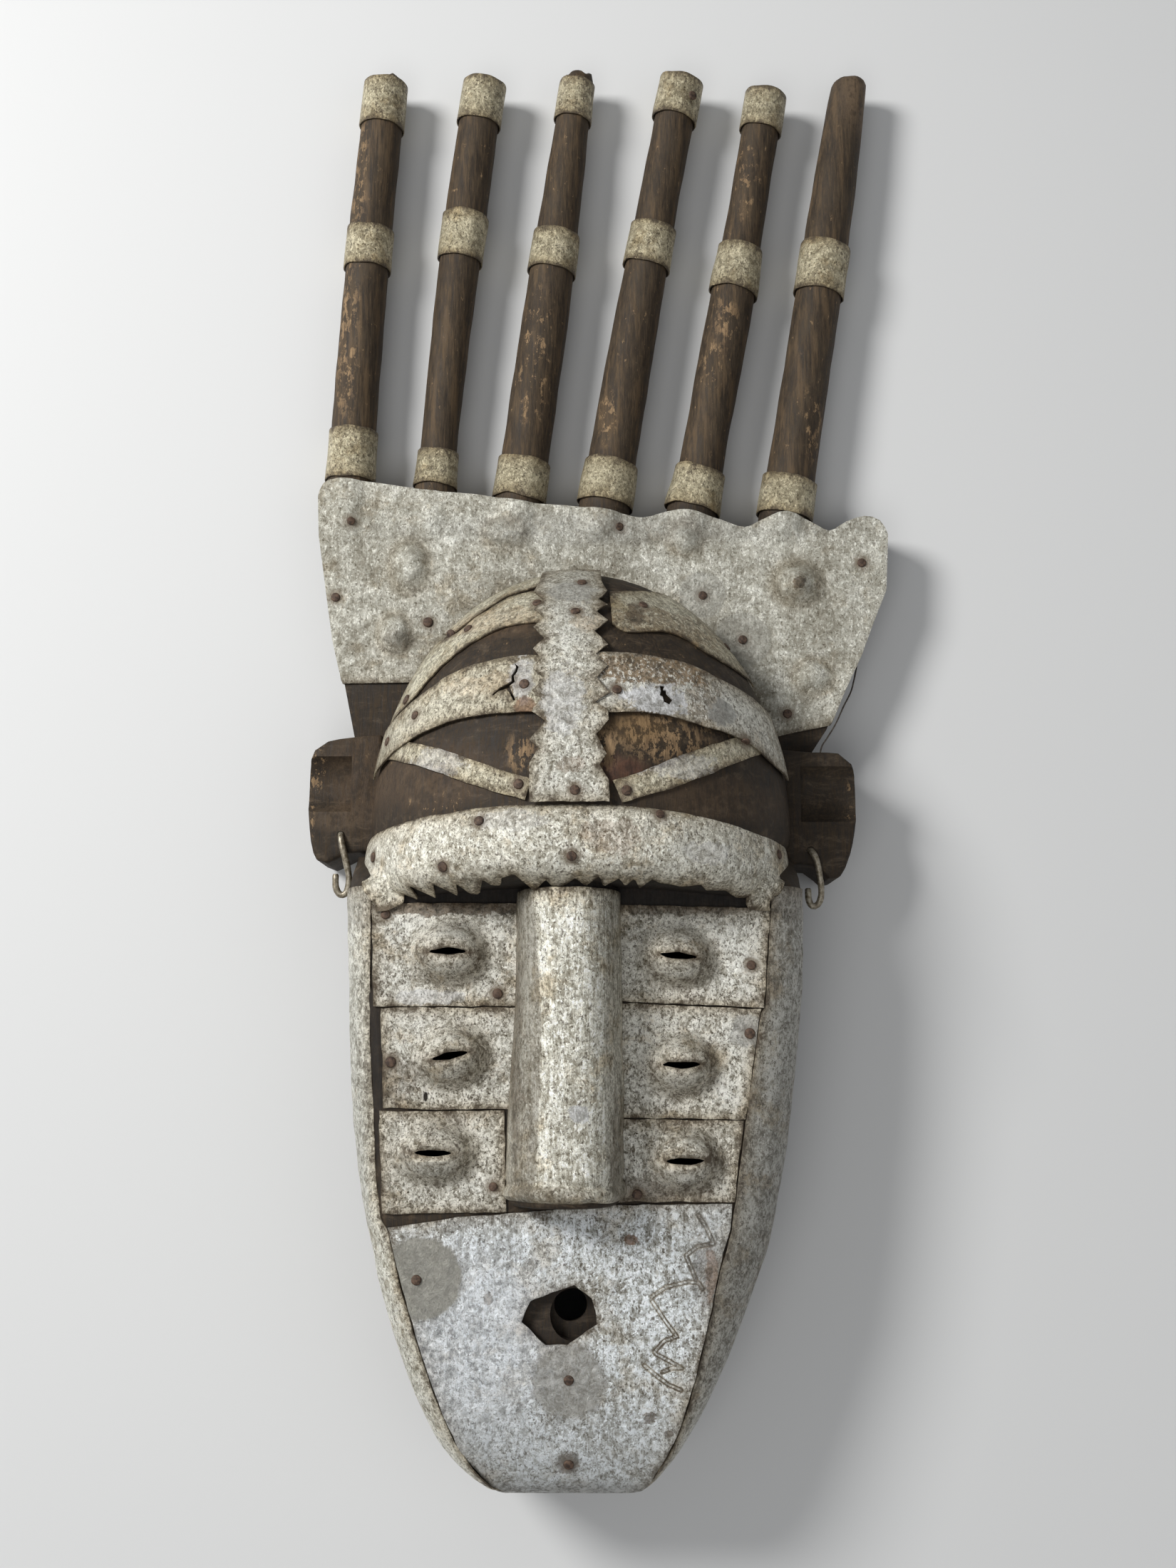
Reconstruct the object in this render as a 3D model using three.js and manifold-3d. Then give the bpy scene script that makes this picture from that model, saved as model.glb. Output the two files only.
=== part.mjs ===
// A konde mask of carved wood, covered with nailed sheet aluminium, lying on its back.
// Millimetres. X runs across the face, Y from the chin to the rods and Z from the open back
// to the front. Points below are measured from the top end of the nose: X from the middle of
// the nose, Y from the lower edge of the brow and Z from the surface that the mask lies on.

import * as THREE from 'three';
import { mergeVertices } from 'three/addons/utils/BufferGeometryUtils.js';
import Module from 'manifold-3d';

const wasm = await Module();
wasm.setup();

// Overall places
const chinEnd = -270.5;
const faceLevel = 85;
const faceTop = 20;
const noseTip = -141.5;
const centreOfBox = { x: 16.34, y: 86.62 };

// Sheet aluminium
const clearance = 0.3;
const sheetThickness = 1.0;
const overWood = clearance + sheetThickness;
const seam = 0.5;

// Wood walls and hollow
const wallThickness = 14;
const floorCut = -2;
const hollowWall = [[-256, 22], [-240, 17.5], [-200, 15], [5, 15], [32, 20]];
const hollowStations = [-256, -243, -220, -185, -145, -95, -45, 5, 32];
const hollowSteps = 4;
const hollowSides = 16;
const faceHollowLevel = 69;
const slotThroughWood = { halfLength: 8, halfHeight: 4, sides: 8 };
const beyond = 140;
const everywhere = 500;
const cutFoot = 30;
const cutTop = 90;

// Face shell: left and right side of its outline, as [y, x]
const leftSide = [
  [-270.5, -33], [-266, -41], [-246, -60], [-203, -78.5], [-152, -92], [-102, -99.5],
  [-36, -103], [2, -104], [20, -103],
];
const rightSide = [
  [-270.5, 33], [-266, 38.5], [-246, 54], [-203, 75.5], [-152, 93.5], [-102, 102.5],
  [-36, 109], [2, 110], [20, 108],
];
const shellStations = [
  -270.5, -268, -262, -250, -232, -208, -180, -152, -120, -85, -40, 3, 11, 20,
];
// How far the flat front stands in from each side, as [y, width of the shoulder]
const shoulderLeft = [
  [-270.5, 3], [-262, 7], [-250, 10], [-225, 11], [-202, 11.5], [-145, 11], [-100, 14.5], [-5, 13],
];
const shoulderRight = [
  [-270.5, 3], [-262, 5], [-246, 7.5], [-230, 11], [-188, 18], [-152, 20], [-105, 21], [-55, 18.5],
  [-13, 17],
];
// The round of the shoulder: level, share of the shoulder's width, and how a sheet lies on it
const sideLevel = 34;
const shoulderRound = [
  { z: 0, inset: 0.35, out: 1, up: 0 },
  { z: sideLevel, inset: 0.06, out: 1, up: 0 },
  { z: 64, inset: 0, out: 1, up: 0.2 },
  { z: 77, inset: 0.36, out: 0.7, up: 0.75 },
  { z: faceLevel, inset: 1, out: 0.3, up: 1 },
];
const frontDrop = [[-270.5, 14], [-250, 7.5], [-225, 3.5], [-190, 1], [-152, 0], [3, 0], [20, 34]];

// Forehead dome, a quarter of an egg
const dome = {
  x: 4.5, y: 30, z: 30, halfLeft: 102, halfRight: 104, up: 132, down: 34, height: 97, fullness: 2.2,
};
const domeSides = 22;
const domeCap = 0.04;
const domeLast = 0.6;
const domeSteps = 5;

// Brow roll, as [y, how far it stands out from the dome's own arch]
const browProfile = [
  [1.5, -46], [1.8, -7.5], [6, 0.3], [13, 3.8], [22, 4.2], [31, 2.2], [39, -5],
];
const browMiddle = 3;
const browHalfWidth = 101;
const browDroop = { depth: 7, reach: 95, power: 2.2 };
const browSideShare = 0.6;
const browLipRows = 2;
const browSides = 14;
const browFoot = 20;

// Nose, a half round bar, as [y, x of its side]
const noseLeft = [[-141.5, 27.5], [-100, 25.5], [-40, 22.5], [6, 22]];
const noseRight = [[-141.5, 23.5], [-100, 23.5], [-40, 22.5], [6, 22]];
const noseHeight = 31;
const noseSunk = 8;
const noseFullness = 0.85;
const noseEndRound = 1.5;
const noseStations = [noseTip, -139.5, -100, -40, 6];
const noseSides = 12;
const nosePlate = { lowLeft: -136.5, lowRight: -137.5, top: -1 };

// Ears, blocks with a hollow across their front
const earFront = 45;
const earBack = 3;
const leftEar = [
  [-92, 81], [-107, 79.5], [-119, 77.5], [-125.5, 73], [-128, 63], [-128.3, 48], [-126.5, 28],
  [-123.5, 19], [-118.5, 17], [-108, 22], [-92, 28],
];
const rightEar = [
  [96, 74], [119, 72], [132, 71.5], [138.5, 66], [140.6, 54], [140, 38], [137, 22],
  [131.5, 10], [126, 9.5], [118, 16], [96, 22],
];
const earHollow = { left: 56, right: 51, halfHeight: 11, depth: 8, sides: 12, past: 6 };

// Crest plate
const crestThickness = 28;
const crestSkirt = 9;
const crestTop = [
  [-127.8, 207], [-125.5, 213], [-119, 215], [-98, 212.8], [-73, 209], [-47, 206.5], [-23, 202.5],
  [2, 200.5], [22, 197.5], [37, 194.5], [50, 198], [60, 198], [76, 193.5], [89, 189.5], [99, 194],
  [110, 197], [122, 192.5], [132, 187.7], [141, 192.5], [150, 195.5], [157, 193.5], [160.5, 187],
];
const crestRightSide = [[159, 158], [152, 141], [146, 125], [137, 106], [128.5, 86], [118, 70], [104, 50]];
const crestLeftSide = [[-98, 40], [-106, 72], [-114, 111], [-119, 132], [-123, 159], [-127, 186]];
const crestTopSteps = 22;
const crestSheetFoot = [[-140, 110.5], [-60, 107], [60, 90.5], [180, 86]];
const crestSheetEnd = 260;
const bossFoot = 0.8;
const bossSides = 8;
const bosses = [
  { x: -82, y: 170, wide: 19, high: 26, rise: 5 },
  { x: -34, y: 187, wide: 20, high: 16, rise: 4 },
  { x: -89, y: 135, wide: 16, high: 20, rise: 4.5 },
  { x: 58, y: 184, wide: 17, high: 15, rise: 4.5 },
  { x: 115, y: 161, wide: 23, high: 22, rise: 8 },
  { x: 122, y: 113, wide: 19, high: 17, rise: 4.5 },
];

// Rods: x at the foot and at the tip, how far the middle bows sideways, the y of the tip,
// wood widths at the stations below, and the bands as [from y, to y]
const rodLevel = 17;
const rodFoot = 190;
const rodFootLine = 205;
const rodTipLine = 440;
const rodWidthStations = [205, 232, 307, 370, 440];
const rodSides = 8;
const rodEndRound = [{ back: 4, less: 0.5 }, { back: 0, less: 4 }];
const rodStationRoom = 6;
const bandThickness = 0.9;
const rods = [
  {
    foot: -115, tip: -99.3, bow: -1.5, end: 441.5, widths: [26, 24, 23.6, 23.2, 21.6],
    bands: [[218, 245], [334, 356], [414, 439.5]],
  },
  {
    foot: -71.2, tip: -46.5, bow: -1.8, end: 441, widths: [23, 19.5, 21.3, 22.8, 21.3],
    bands: [[215, 234], [339, 364], [416, 439.5]],
  },
  {
    foot: -27.4, tip: 3.2, bow: 0.4, end: 445, widths: [27, 25.5, 25, 21.8, 17],
    bands: [[208, 229], [332, 354], [418, 440]],
  },
  {
    foot: 17.4, tip: 59, bow: -1, end: 442, widths: [27.6, 26, 24.4, 22, 21.8],
    bands: [[205.5, 228], [335, 358], [418.5, 441]],
  },
  {
    foot: 63.2, tip: 105.3, bow: 1.2, end: 435, widths: [27, 23.8, 24.4, 20.6, 20.4],
    bands: [[202.5, 224], [321, 346], [412, 433.5]],
  },
  {
    foot: 111.3, tip: 149, bow: 0.5, end: 441.5, widths: [27.6, 26, 25, 24, 19.5],
    bands: [[198.5, 219], [320, 347]],
  },
];

// Sheet strips on the forehead, each between an upper and a lower edge
const stripFoot = 42;
const stripSteps = 7;
const sheetFootLevel = 20;
const foreheadStrips = {
  forehead_strip_left_rim: {
    upper: [[-8, 170], [-32, 168], [-60, 160], [-72, 140]],
    lower: [[-8, 148], [-29, 142], [-45, 131.5], [-57, 124]],
    foot: 56,
  },
  forehead_strip_left_upper: {
    upper: [[-8, 142.5], [-26, 141.5], [-42, 132.3], [-57.5, 122.5], [-80, 125], [-105, 84]],
    lower: [[-8, 121], [-16, 123], [-33, 121], [-51, 112], [-64, 101.5], [-74, 91], [-90, 81]],
  },
  forehead_strip_left_middle: {
    upper: [[-8, 104], [-25, 105], [-49, 101], [-68, 92], [-83, 83], [-92, 78], [-110, 70]],
    lower: [[-8, 77], [-34, 77], [-55, 75], [-71, 70], [-86, 63], [-97, 55], [-110, 46]],
  },
  forehead_strip_left_lower: {
    upper: [[-16, 46], [-33, 52], [-62, 64], [-90, 74]],
    lower: [[-19, 36.8], [-41, 44], [-71, 57], [-100, 69]],
  },
  forehead_strip_right_upper: {
    upper: [[19, 141.5], [31, 143.5], [46, 147], [62, 150], [90, 130], [110, 104]],
    lower: [[20, 122], [27, 118], [46, 120], [57, 116], [69, 110], [82, 106], [110, 101]],
  },
  forehead_strip_right_middle: {
    upper: [[8, 106], [27, 106], [42, 105], [55, 103], [72, 97], [84, 93], [97, 87], [115, 82]],
    lower: [[8, 76], [38, 77], [60, 73], [82, 68], [94, 61], [103, 57], [115, 52]],
  },
  forehead_strip_right_lower: {
    upper: [[19.5, 45], [33, 50], [62, 63], [90, 75]],
    lower: [[24, 35.5], [52, 45], [86, 62], [100, 69]],
  },
};
const centreStrip = {
  top: 157, foot: 35.5, left: -16.5, right: 18, teeth: 8, toothTop: 146, toothFoot: 62, toothDepth: 5.5,
  notch: 3, notchDown: 9, straightDown: 17,
};

// Brow band
const browBand = {
  top: 34.5, foot: 45, tip: -1.2, toothDepth: 4.5, teeth: 14, from: -92, to: 94, left: -112, right: 118,
  levelBeyond: 102, topPoints: 11,
};

// Eye plates: corners from upper left, clockwise, and the eye's place on each
const eyePlates = [
  {
    name: 'eye_plate_left_upper', corners: [[-91, -5.5], [-18, -6], [-18, -53], [-89.5, -53]],
    eye: { x: -55, y: -28.5, wide: 36, high: 29, turn: 0 },
  },
  {
    name: 'eye_plate_left_middle', corners: [[-86, -53.7], [-18, -53.5], [-18, -99.7], [-84, -99.2]],
    eye: { x: -53.5, y: -75.5, wide: 35, high: 28, turn: 12 },
  },
  {
    name: 'eye_plate_left_lower', corners: [[-86, -100.3], [-29, -100.2], [-28, -145], [-84, -145.8]],
    eye: { x: -60.5, y: -118.5, wide: 37, high: 28, turn: 0 },
  },
  {
    name: 'eye_plate_right_upper', corners: [[18, -6.5], [93, -8], [89.5, -53.8], [18, -50.5]],
    eye: { x: 50, y: -30.5, wide: 35, high: 27, turn: -6 },
  },
  {
    name: 'eye_plate_right_middle', corners: [[18, -51.2], [88, -54.5], [80.5, -104], [18, -103.2]],
    eye: { x: 51, y: -79.5, wide: 34, high: 28, turn: 0 },
  },
  {
    name: 'eye_plate_right_lower', corners: [[18, -103.9], [79.5, -104.7], [75, -140.6], [18, -140.6]],
    eye: { x: 52.5, y: -122, wide: 34, high: 29, turn: 0 },
  },
];
const eyeRise = 11;
const eyeWall = 1.2;
const eyeSides = { outer: 10, inner: 6, slit: 6 };
const eyeSlit = { length: 13, height: 4 };

// Chin plate and the mouth cut through it
const chinPlateSide = {
  left: [[-33, -267.5], [-43, -256], [-50, -246], [-59, -225], [-67, -202], [-75, -176], [-81, -152]],
  top: [[-50, -147.3], [-28, -145.8], [0, -143.6], [28, -141.9], [74, -141.4]],
  right: [[73, -152], [68, -169], [64, -188], [58.5, -210], [53, -230], [47, -246], [35, -266.5]],
};
const chinPlateOutline = [...chinPlateSide.left, ...chinPlateSide.top, ...chinPlateSide.right];
const mouth = [
  [-21, -193], [-17, -184], [-7, -180], [3, -177], [11, -183], [13, -194], [0, -203], [-10, -203],
];
const mouthRecess = 11;
const mouthBore = { x: 1, y: -187, radius: 7.5, sides: 10 };

// Side strips
const sideStripFoot = 36;
const sideStripTop = 3;
const sideStripInner = {
  left: [[-30, -262], [-50, -230], [-70, -160], [-88, -100], [-91.6, -5]],
  right: [[34, -262], [50, -225], [70, -150], [80, -60], [93.6, -5]],
};

// Ear hooks, bent from round bar, and the loose wire by the crest
const hookRadius = 1.6;
const hookSides = 6;
const hookSteps = 8;
const leftHook = [
  [-112, 33, 36], [-111.6, 30.5, 45.5], [-110.5, 25, 47.2], [-108.5, 17, 46], [-107.2, 9, 44.5],
  [-108.5, 3, 43.5], [-111.5, 1.8, 43], [-113.8, 5.5, 43], [-114, 12, 43],
];
const rightHook = [
  [116.5, 24, 36], [117.5, 23, 45.5], [119.8, 18.5, 47], [121.6, 10, 45.5], [122.2, 1.5, 44],
  [120.5, -3, 43.2], [117.8, -3.6, 43], [116.2, -0.5, 43], [116, 5, 43],
];
const wireRadius = 0.4;
const wireSides = 5;
const wireSteps = 8;
const wirePath = [
  [146.6, 121.6, 14], [144.3, 113.1, 18], [141.9, 106.2, 22], [137.6, 98.2, 26], [133, 88.8, 30],
  [127.8, 80.5, 34], [125.1, 76.5, 37], [123.5, 72.1, 40],
];

const wood = { color: 0x35291f, roughness: 0.85, metalness: 0 };
const aluminium = { color: 0xb4b2aa, roughness: 0.55, metalness: 0.7 };
const warmAluminium = { color: 0xa39f8e, roughness: 0.6, metalness: 0.6 };

// A smooth line through a few measured points [where, value], read at any place. It never
// swings past the points, so a flat stretch stays flat.
function along(points, where) {
  const last = points.length - 1;
  if (where <= points[0][0]) return points[0][1];
  if (where >= points[last][0]) return points[last][1];
  let k = 0;
  while (where > points[k + 1][0]) k += 1;
  const rate = (i) => (points[i + 1][1] - points[i][1]) / (points[i + 1][0] - points[i][0]);
  const slope = (i) => {
    if (i === 0) return rate(0);
    if (i === last) return rate(last - 1);
    const product = rate(i - 1) * rate(i);
    return product <= 0 ? 0 : (2 * product) / (rate(i - 1) + rate(i));
  };
  const gap = points[k + 1][0] - points[k][0];
  const t = (where - points[k][0]) / gap;
  const start = (2 * t ** 3 - 3 * t ** 2 + 1) * points[k][1] + (t ** 3 - 2 * t ** 2 + t) * gap * slope(k);
  const end = (3 * t ** 2 - 2 * t ** 3) * points[k + 1][1] + (t ** 3 - t ** 2) * gap * slope(k + 1);
  return start + end;
}

// The same kind of line in the plane, as a row of points.
function smoothLine(points, steps) {
  const curve = new THREE.SplineCurve(points.map(([x, y]) => new THREE.Vector2(x, y)));
  return curve.getPoints(steps).map((p) => [p.x, p.y]);
}

// A closed geometry as a solid that can be joined and cut.
function solid(geometry) {
  const bare = geometry.clone();
  bare.deleteAttribute('normal');
  bare.deleteAttribute('uv');
  const merged = mergeVertices(bare, 1e-4);
  const vertProperties = Float32Array.from(merged.attributes.position.array);
  const triVerts = Uint32Array.from(merged.index.array);
  return new wasm.Manifold(new wasm.Mesh({ numProp: 3, vertProperties, triVerts }));
}

// Rings of equally many points, joined into one closed body. Each end is closed by rungs
// between the two sides of its ring.
function loft(rings) {
  const count = rings[0].length;
  const corners = rings.flat(2);
  const faces = [];
  const quad = (a, b, c, d) => faces.push(a, b, c, a, c, d);
  for (let r = 0; r + 1 < rings.length; r += 1) {
    for (let i = 0; i < count; i += 1) {
      const next = (i + 1) % count;
      quad(r * count + i, r * count + next, (r + 1) * count + next, (r + 1) * count + i);
    }
  }
  const top = (rings.length - 1) * count;
  for (let i = 0; i < count / 2 - 1; i += 1) {
    const over = count - 1 - i;
    quad(over, over - 1, i + 1, i);
    quad(top + i, top + i + 1, top + over - 1, top + over);
  }
  const at = (i) => new THREE.Vector3(corners[3 * i], corners[3 * i + 1], corners[3 * i + 2]);
  let volume = 0;
  for (let f = 0; f < faces.length; f += 3) {
    volume += at(faces[f]).dot(at(faces[f + 1]).cross(at(faces[f + 2])));
  }
  if (volume < 0) faces.reverse();
  const geometry = new THREE.BufferGeometry();
  geometry.setAttribute('position', new THREE.Float32BufferAttribute(corners, 3));
  geometry.setIndex(faces);
  return solid(geometry);
}

// An upright block with the given outline.
function prism(outline, low, high) {
  const shape = new THREE.Shape(outline.map(([x, y]) => new THREE.Vector2(x, y)));
  const geometry = new THREE.ExtrudeGeometry(shape, { depth: high - low, bevelEnabled: false });
  return solid(geometry.translate(0, 0, low));
}

// All the space between two levels.
function slab(low, high) {
  const size = everywhere;
  return prism([[-size, -size], [size, -size], [size, size], [-size, size]], low, high);
}

// A closed outline moved outwards by a distance that may differ from point to point.
function offsetOutline(outline, distance) {
  const count = outline.length;
  let area = 0;
  outline.forEach(([x, y], i) => {
    const [nx, ny] = outline[(i + 1) % count];
    area += x * ny - nx * y;
  });
  const turn = Math.sign(area);
  return outline.map(([x, y], i) => {
    const [bx, by] = outline[(i + count - 1) % count];
    const [ax, ay] = outline[(i + 1) % count];
    const before = new THREE.Vector2(y - by, bx - x).normalize();
    const after = new THREE.Vector2(ay - y, x - ax).normalize();
    const out = before.add(after).normalize().multiplyScalar(turn * distance(i));
    return [x + out.x, y + out.y];
  });
}

// The forehead dome. Grown, it carries a sheet or gives it room; shrunk, it is the hollow.
function domeShape(grow, base, steps = domeSteps, sides = domeSides) {
  const tall = dome.height + grow;
  const ring = (share, z) => Array.from({ length: sides }, (_, i) => {
    const angle = (2 * Math.PI * (i + 0.5)) / sides + Math.PI / 2;
    const reach = (Math.sin(angle) > 0 ? dome.up : dome.down) + grow;
    const wide = (Math.cos(angle) > 0 ? dome.halfRight : dome.halfLeft) + grow;
    return [dome.x + wide * share * Math.cos(angle), dome.y + reach * share * Math.sin(angle), z];
  });
  const rings = [ring(1, base)];
  for (let k = 0; k <= steps; k += 1) {
    const rise = (Math.PI / 2) * (k / (steps + domeLast));
    const share = Math.cos(rise) ** (2 / dome.fullness);
    rings.push(ring(share, dome.z + tall * Math.sin(rise) ** (2 / dome.fullness)));
  }
  rings.push(ring(domeCap, dome.z + tall));
  return loft(rings);
}

// The shell of the face, from its rim on the ground to the flat front.
function shellOutline() {
  const left = shellStations.map((y) => [along(leftSide, y), y]);
  const right = shellStations.map((y) => [along(rightSide, y), y]).reverse();
  return [...left, ...right];
}

function shellShape(grow) {
  const outline = shellOutline();
  const rings = shoulderRound.map(({ z, inset, out, up }) => {
    const distance = (i) => {
      const [x, y] = outline[i];
      return grow * out - inset * along(x < 0 ? shoulderLeft : shoulderRight, y);
    };
    const share = Math.max(0, (z - sideLevel) / (faceLevel - sideLevel));
    return offsetOutline(outline, distance)
      .map(([x, y]) => [x, y, z + grow * up - share * along(frontDrop, y)]);
  });
  return loft(rings);
}

function browDroopAt(x) {
  return browDroop.depth * (Math.abs(x - browMiddle) / browDroop.reach) ** browDroop.power;
}

// The brow, a roll that follows the arch of the forehead.
function browShape(grow) {
  const rings = browProfile.map(([y, out], k) => {
    const lip = k < browLipRows ? -grow : 0;
    const wide = browHalfWidth + out * browSideShare + grow;
    const tall = dome.height + out + grow;
    const arch = Array.from({ length: browSides }, (_, i) => {
      const angle = (Math.PI * i) / (browSides - 1);
      const across = -Math.sign(Math.cos(angle)) * Math.abs(Math.cos(angle)) ** (2 / dome.fullness);
      const rise = Math.abs(Math.sin(angle)) ** (2 / dome.fullness);
      const x = browMiddle + wide * across;
      return [x, y + lip - browDroopAt(x), dome.z + tall * rise];
    });
    const first = arch[0];
    const last = arch[browSides - 1];
    return [[first[0], first[1], browFoot], ...arch, [last[0], last[1], browFoot]];
  });
  return loft(rings);
}

// The nose, a half round bar with a flat lower end.
function noseShape(grow) {
  const rings = noseStations.map((y, k) => {
    const end = k === 0 ? noseEndRound : 0;
    return Array.from({ length: noseSides }, (_, i) => {
      const angle = (Math.PI * i) / (noseSides - 1);
      const side = angle < Math.PI / 2 ? -along(noseLeft, y) - grow + end : along(noseRight, y) + grow - end;
      const across = Math.abs(Math.cos(angle)) ** noseFullness;
      const rise = Math.sin(angle) ** noseFullness;
      const foot = faceLevel - noseSunk;
      const tall = noseHeight + noseSunk + grow - end;
      return [side * across, y, foot + tall * rise];
    });
  });
  return loft(rings);
}

// The crest plate.
function crestOutline(grow) {
  const top = smoothLine(crestTop, crestTopSteps);
  const outline = [...top, ...crestRightSide, ...crestLeftSide];
  return offsetOutline(outline, () => grow);
}

function crestShape(grow) {
  return prism(crestOutline(grow), 0, crestThickness + grow);
}

// One rod, or a sleeve's room around it, between two heights.
function rodShape(rod, grow, from, to, rounded) {
  const width = (y) => along(rodWidthStations.map((s, i) => [s, rod.widths[i]]), y);
  const inner = rodWidthStations.filter((y) => y > from + rodStationRoom && y < to - rodStationRoom);
  const end = rounded ? rodEndRound.map(({ back, less }) => [to - back, less]) : [[to, 0]];
  const stations = [[from, 0], ...inner.map((y) => [y, 0]), ...end];
  const rings = stations.map(([y, less]) => {
    const t = (y - rodFootLine) / (rodTipLine - rodFootLine);
    const x = rod.foot + (rod.tip - rod.foot) * t + rod.bow * 4 * t * (1 - t);
    const radius = width(y) / 2 + grow - less;
    return Array.from({ length: rodSides }, (_, i) => {
      const angle = (2 * Math.PI * (i + 0.5)) / rodSides + Math.PI / 2;
      return [x + radius * Math.cos(angle), y, rodLevel + radius * Math.sin(angle)];
    });
  });
  return loft(rings);
}

function earShape(outline, grow) {
  return prism(offsetOutline(outline, () => grow), earBack - grow, earFront + grow);
}

// A lens or oval block, upright, used for slits, bosses and holes.
function ovalPrism({ x, y }, halfLength, halfHeight, low, high, turn, sides) {
  const angle = THREE.MathUtils.degToRad(turn);
  const outline = Array.from({ length: sides }, (_, i) => {
    const a = (2 * Math.PI * i) / sides;
    const across = halfLength * Math.cos(a);
    const up = halfHeight * Math.sin(a);
    return [
      x + across * Math.cos(angle) - up * Math.sin(angle),
      y + across * Math.sin(angle) + up * Math.cos(angle),
    ];
  });
  return prism(outline, low, high);
}

// A low round swelling whose upper half stands on the given level.
function swelling({ x, y, turn = 0 }, halfWide, halfHigh, rise, level, sides) {
  const geometry = new THREE.SphereGeometry(1, sides, sides / 2);
  geometry.rotateX(Math.PI / 2);
  geometry.scale(halfWide, halfHigh, rise);
  geometry.rotateZ(THREE.MathUtils.degToRad(turn));
  geometry.translate(x, y, level);
  return solid(geometry);
}

// A round bar bent along a path.
function bentBar(path, radius, sides, steps) {
  const curve = new THREE.CatmullRomCurve3(path.map(([x, y, z]) => new THREE.Vector3(x, y, z)));
  const section = new THREE.Shape();
  for (let i = 0; i < sides; i += 1) {
    const angle = (2 * Math.PI * i) / sides;
    const point = [radius * Math.cos(angle), radius * Math.sin(angle)];
    if (i === 0) section.moveTo(...point);
    else section.lineTo(...point);
  }
  const geometry = new THREE.ExtrudeGeometry(section, { steps, extrudePath: curve });
  return solid(geometry);
}

function unite(solids) {
  return solids.reduce((sum, next) => sum.add(next));
}

// All the wood before it is hollowed, or the room that a sheet must keep clear of.
function woodMass(grow) {
  return unite([
    shellShape(grow), domeShape(grow, 0), browShape(grow), noseShape(grow), crestShape(grow),
    earShape(leftEar, grow), earShape(rightEar, grow),
    ...rods.map((rod) => rodShape(rod, grow, rodFoot, rod.end + grow, true)),
  ]);
}

// The hollow back: a trough below the face joined to a shrunk dome.
function hollow() {
  const wall = (y) => along(hollowWall, y);
  const left = hollowStations.map((y) => [along(leftSide, y) + wall(y), y]);
  const right = hollowStations.map((y) => [along(rightSide, y) - wall(y), y]).reverse();
  return prism([...left, ...right], floorCut, faceHollowLevel)
    .add(domeShape(-wallThickness, floorCut, hollowSteps, hollowSides));
}

function bore({ x, y, radius, sides }, low, high) {
  return ovalPrism({ x, y }, radius, radius, low, high, 0, sides);
}

function earGroove(y, fromX, toX) {
  const geometry = new THREE.CylinderGeometry(1, 1, Math.abs(toX - fromX), earHollow.sides);
  geometry.rotateZ(Math.PI / 2);
  geometry.scale(1, earHollow.halfHeight, earHollow.depth);
  geometry.translate((fromX + toX) / 2, y, earFront);
  return solid(geometry);
}

const clearWood = woodMass(clearance);
const hooks = {
  ear_hook_left: bentBar(leftHook, hookRadius, hookSides, hookSteps),
  ear_hook_right: bentBar(rightHook, hookRadius, hookSides, hookSteps),
};

function carvedBody() {
  let body = woodMass(0).subtract(hollow());
  body = body.subtract(earGroove(earHollow.left, -everywhere, leftEar[1][0]));
  body = body.subtract(earGroove(earHollow.right, rightEar[1][0] - earHollow.past, everywhere));
  for (const { eye } of eyePlates) {
    const { halfLength, halfHeight, sides } = slotThroughWood;
    body = body.subtract(ovalPrism(eye, halfLength, halfHeight, cutFoot, cutTop, eye.turn, sides));
  }
  body = body.subtract(prism(mouth, faceLevel - mouthRecess, cutTop));
  body = body.subtract(bore(mouthBore, cutFoot, faceLevel));
  body = body.subtract(bentBar(leftHook, hookRadius + clearance, hookSides, hookSteps));
  body = body.subtract(bentBar(rightHook, hookRadius + clearance, hookSides, hookSteps));
  return body;
}

function crestSheet() {
  const [leftFoot, rightFoot] = [crestSheetFoot[0], crestSheetFoot.at(-1)];
  const region = [...crestSheetFoot, [rightFoot[0], crestSheetEnd], [leftFoot[0], crestSheetEnd]];
  const plate = prism(crestOutline(overWood), crestThickness - crestSkirt, crestThickness + overWood);
  const raised = bosses.map((boss) => swelling(boss, boss.wide / 2, boss.high / 2, boss.rise,
    crestThickness + overWood, bossSides));
  const above = slab(crestThickness + bossFoot, beyond);
  const sheet = plate.add(unite(raised).intersect(above));
  return sheet
    .intersect(prism(region, 0, beyond))
    .subtract(clearWood)
    .subtract(domeShape(overWood + seam, 0));
}

// A sheet that lies on the dome inside an outline.
function onDome(outline, level, foot) {
  return domeShape(overWood + level, sheetFootLevel)
    .intersect(prism(outline, foot, beyond))
    .subtract(domeShape(clearance + level, 0))
    .subtract(clearWood);
}

function stripOutline({ upper, lower }) {
  return [...smoothLine(upper, stripSteps), ...smoothLine(lower, stripSteps).reverse()];
}

function strip(name) {
  const { foot = stripFoot } = foreheadStrips[name];
  return onDome(stripOutline(foreheadStrips[name]), 0, foot);
}

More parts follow.
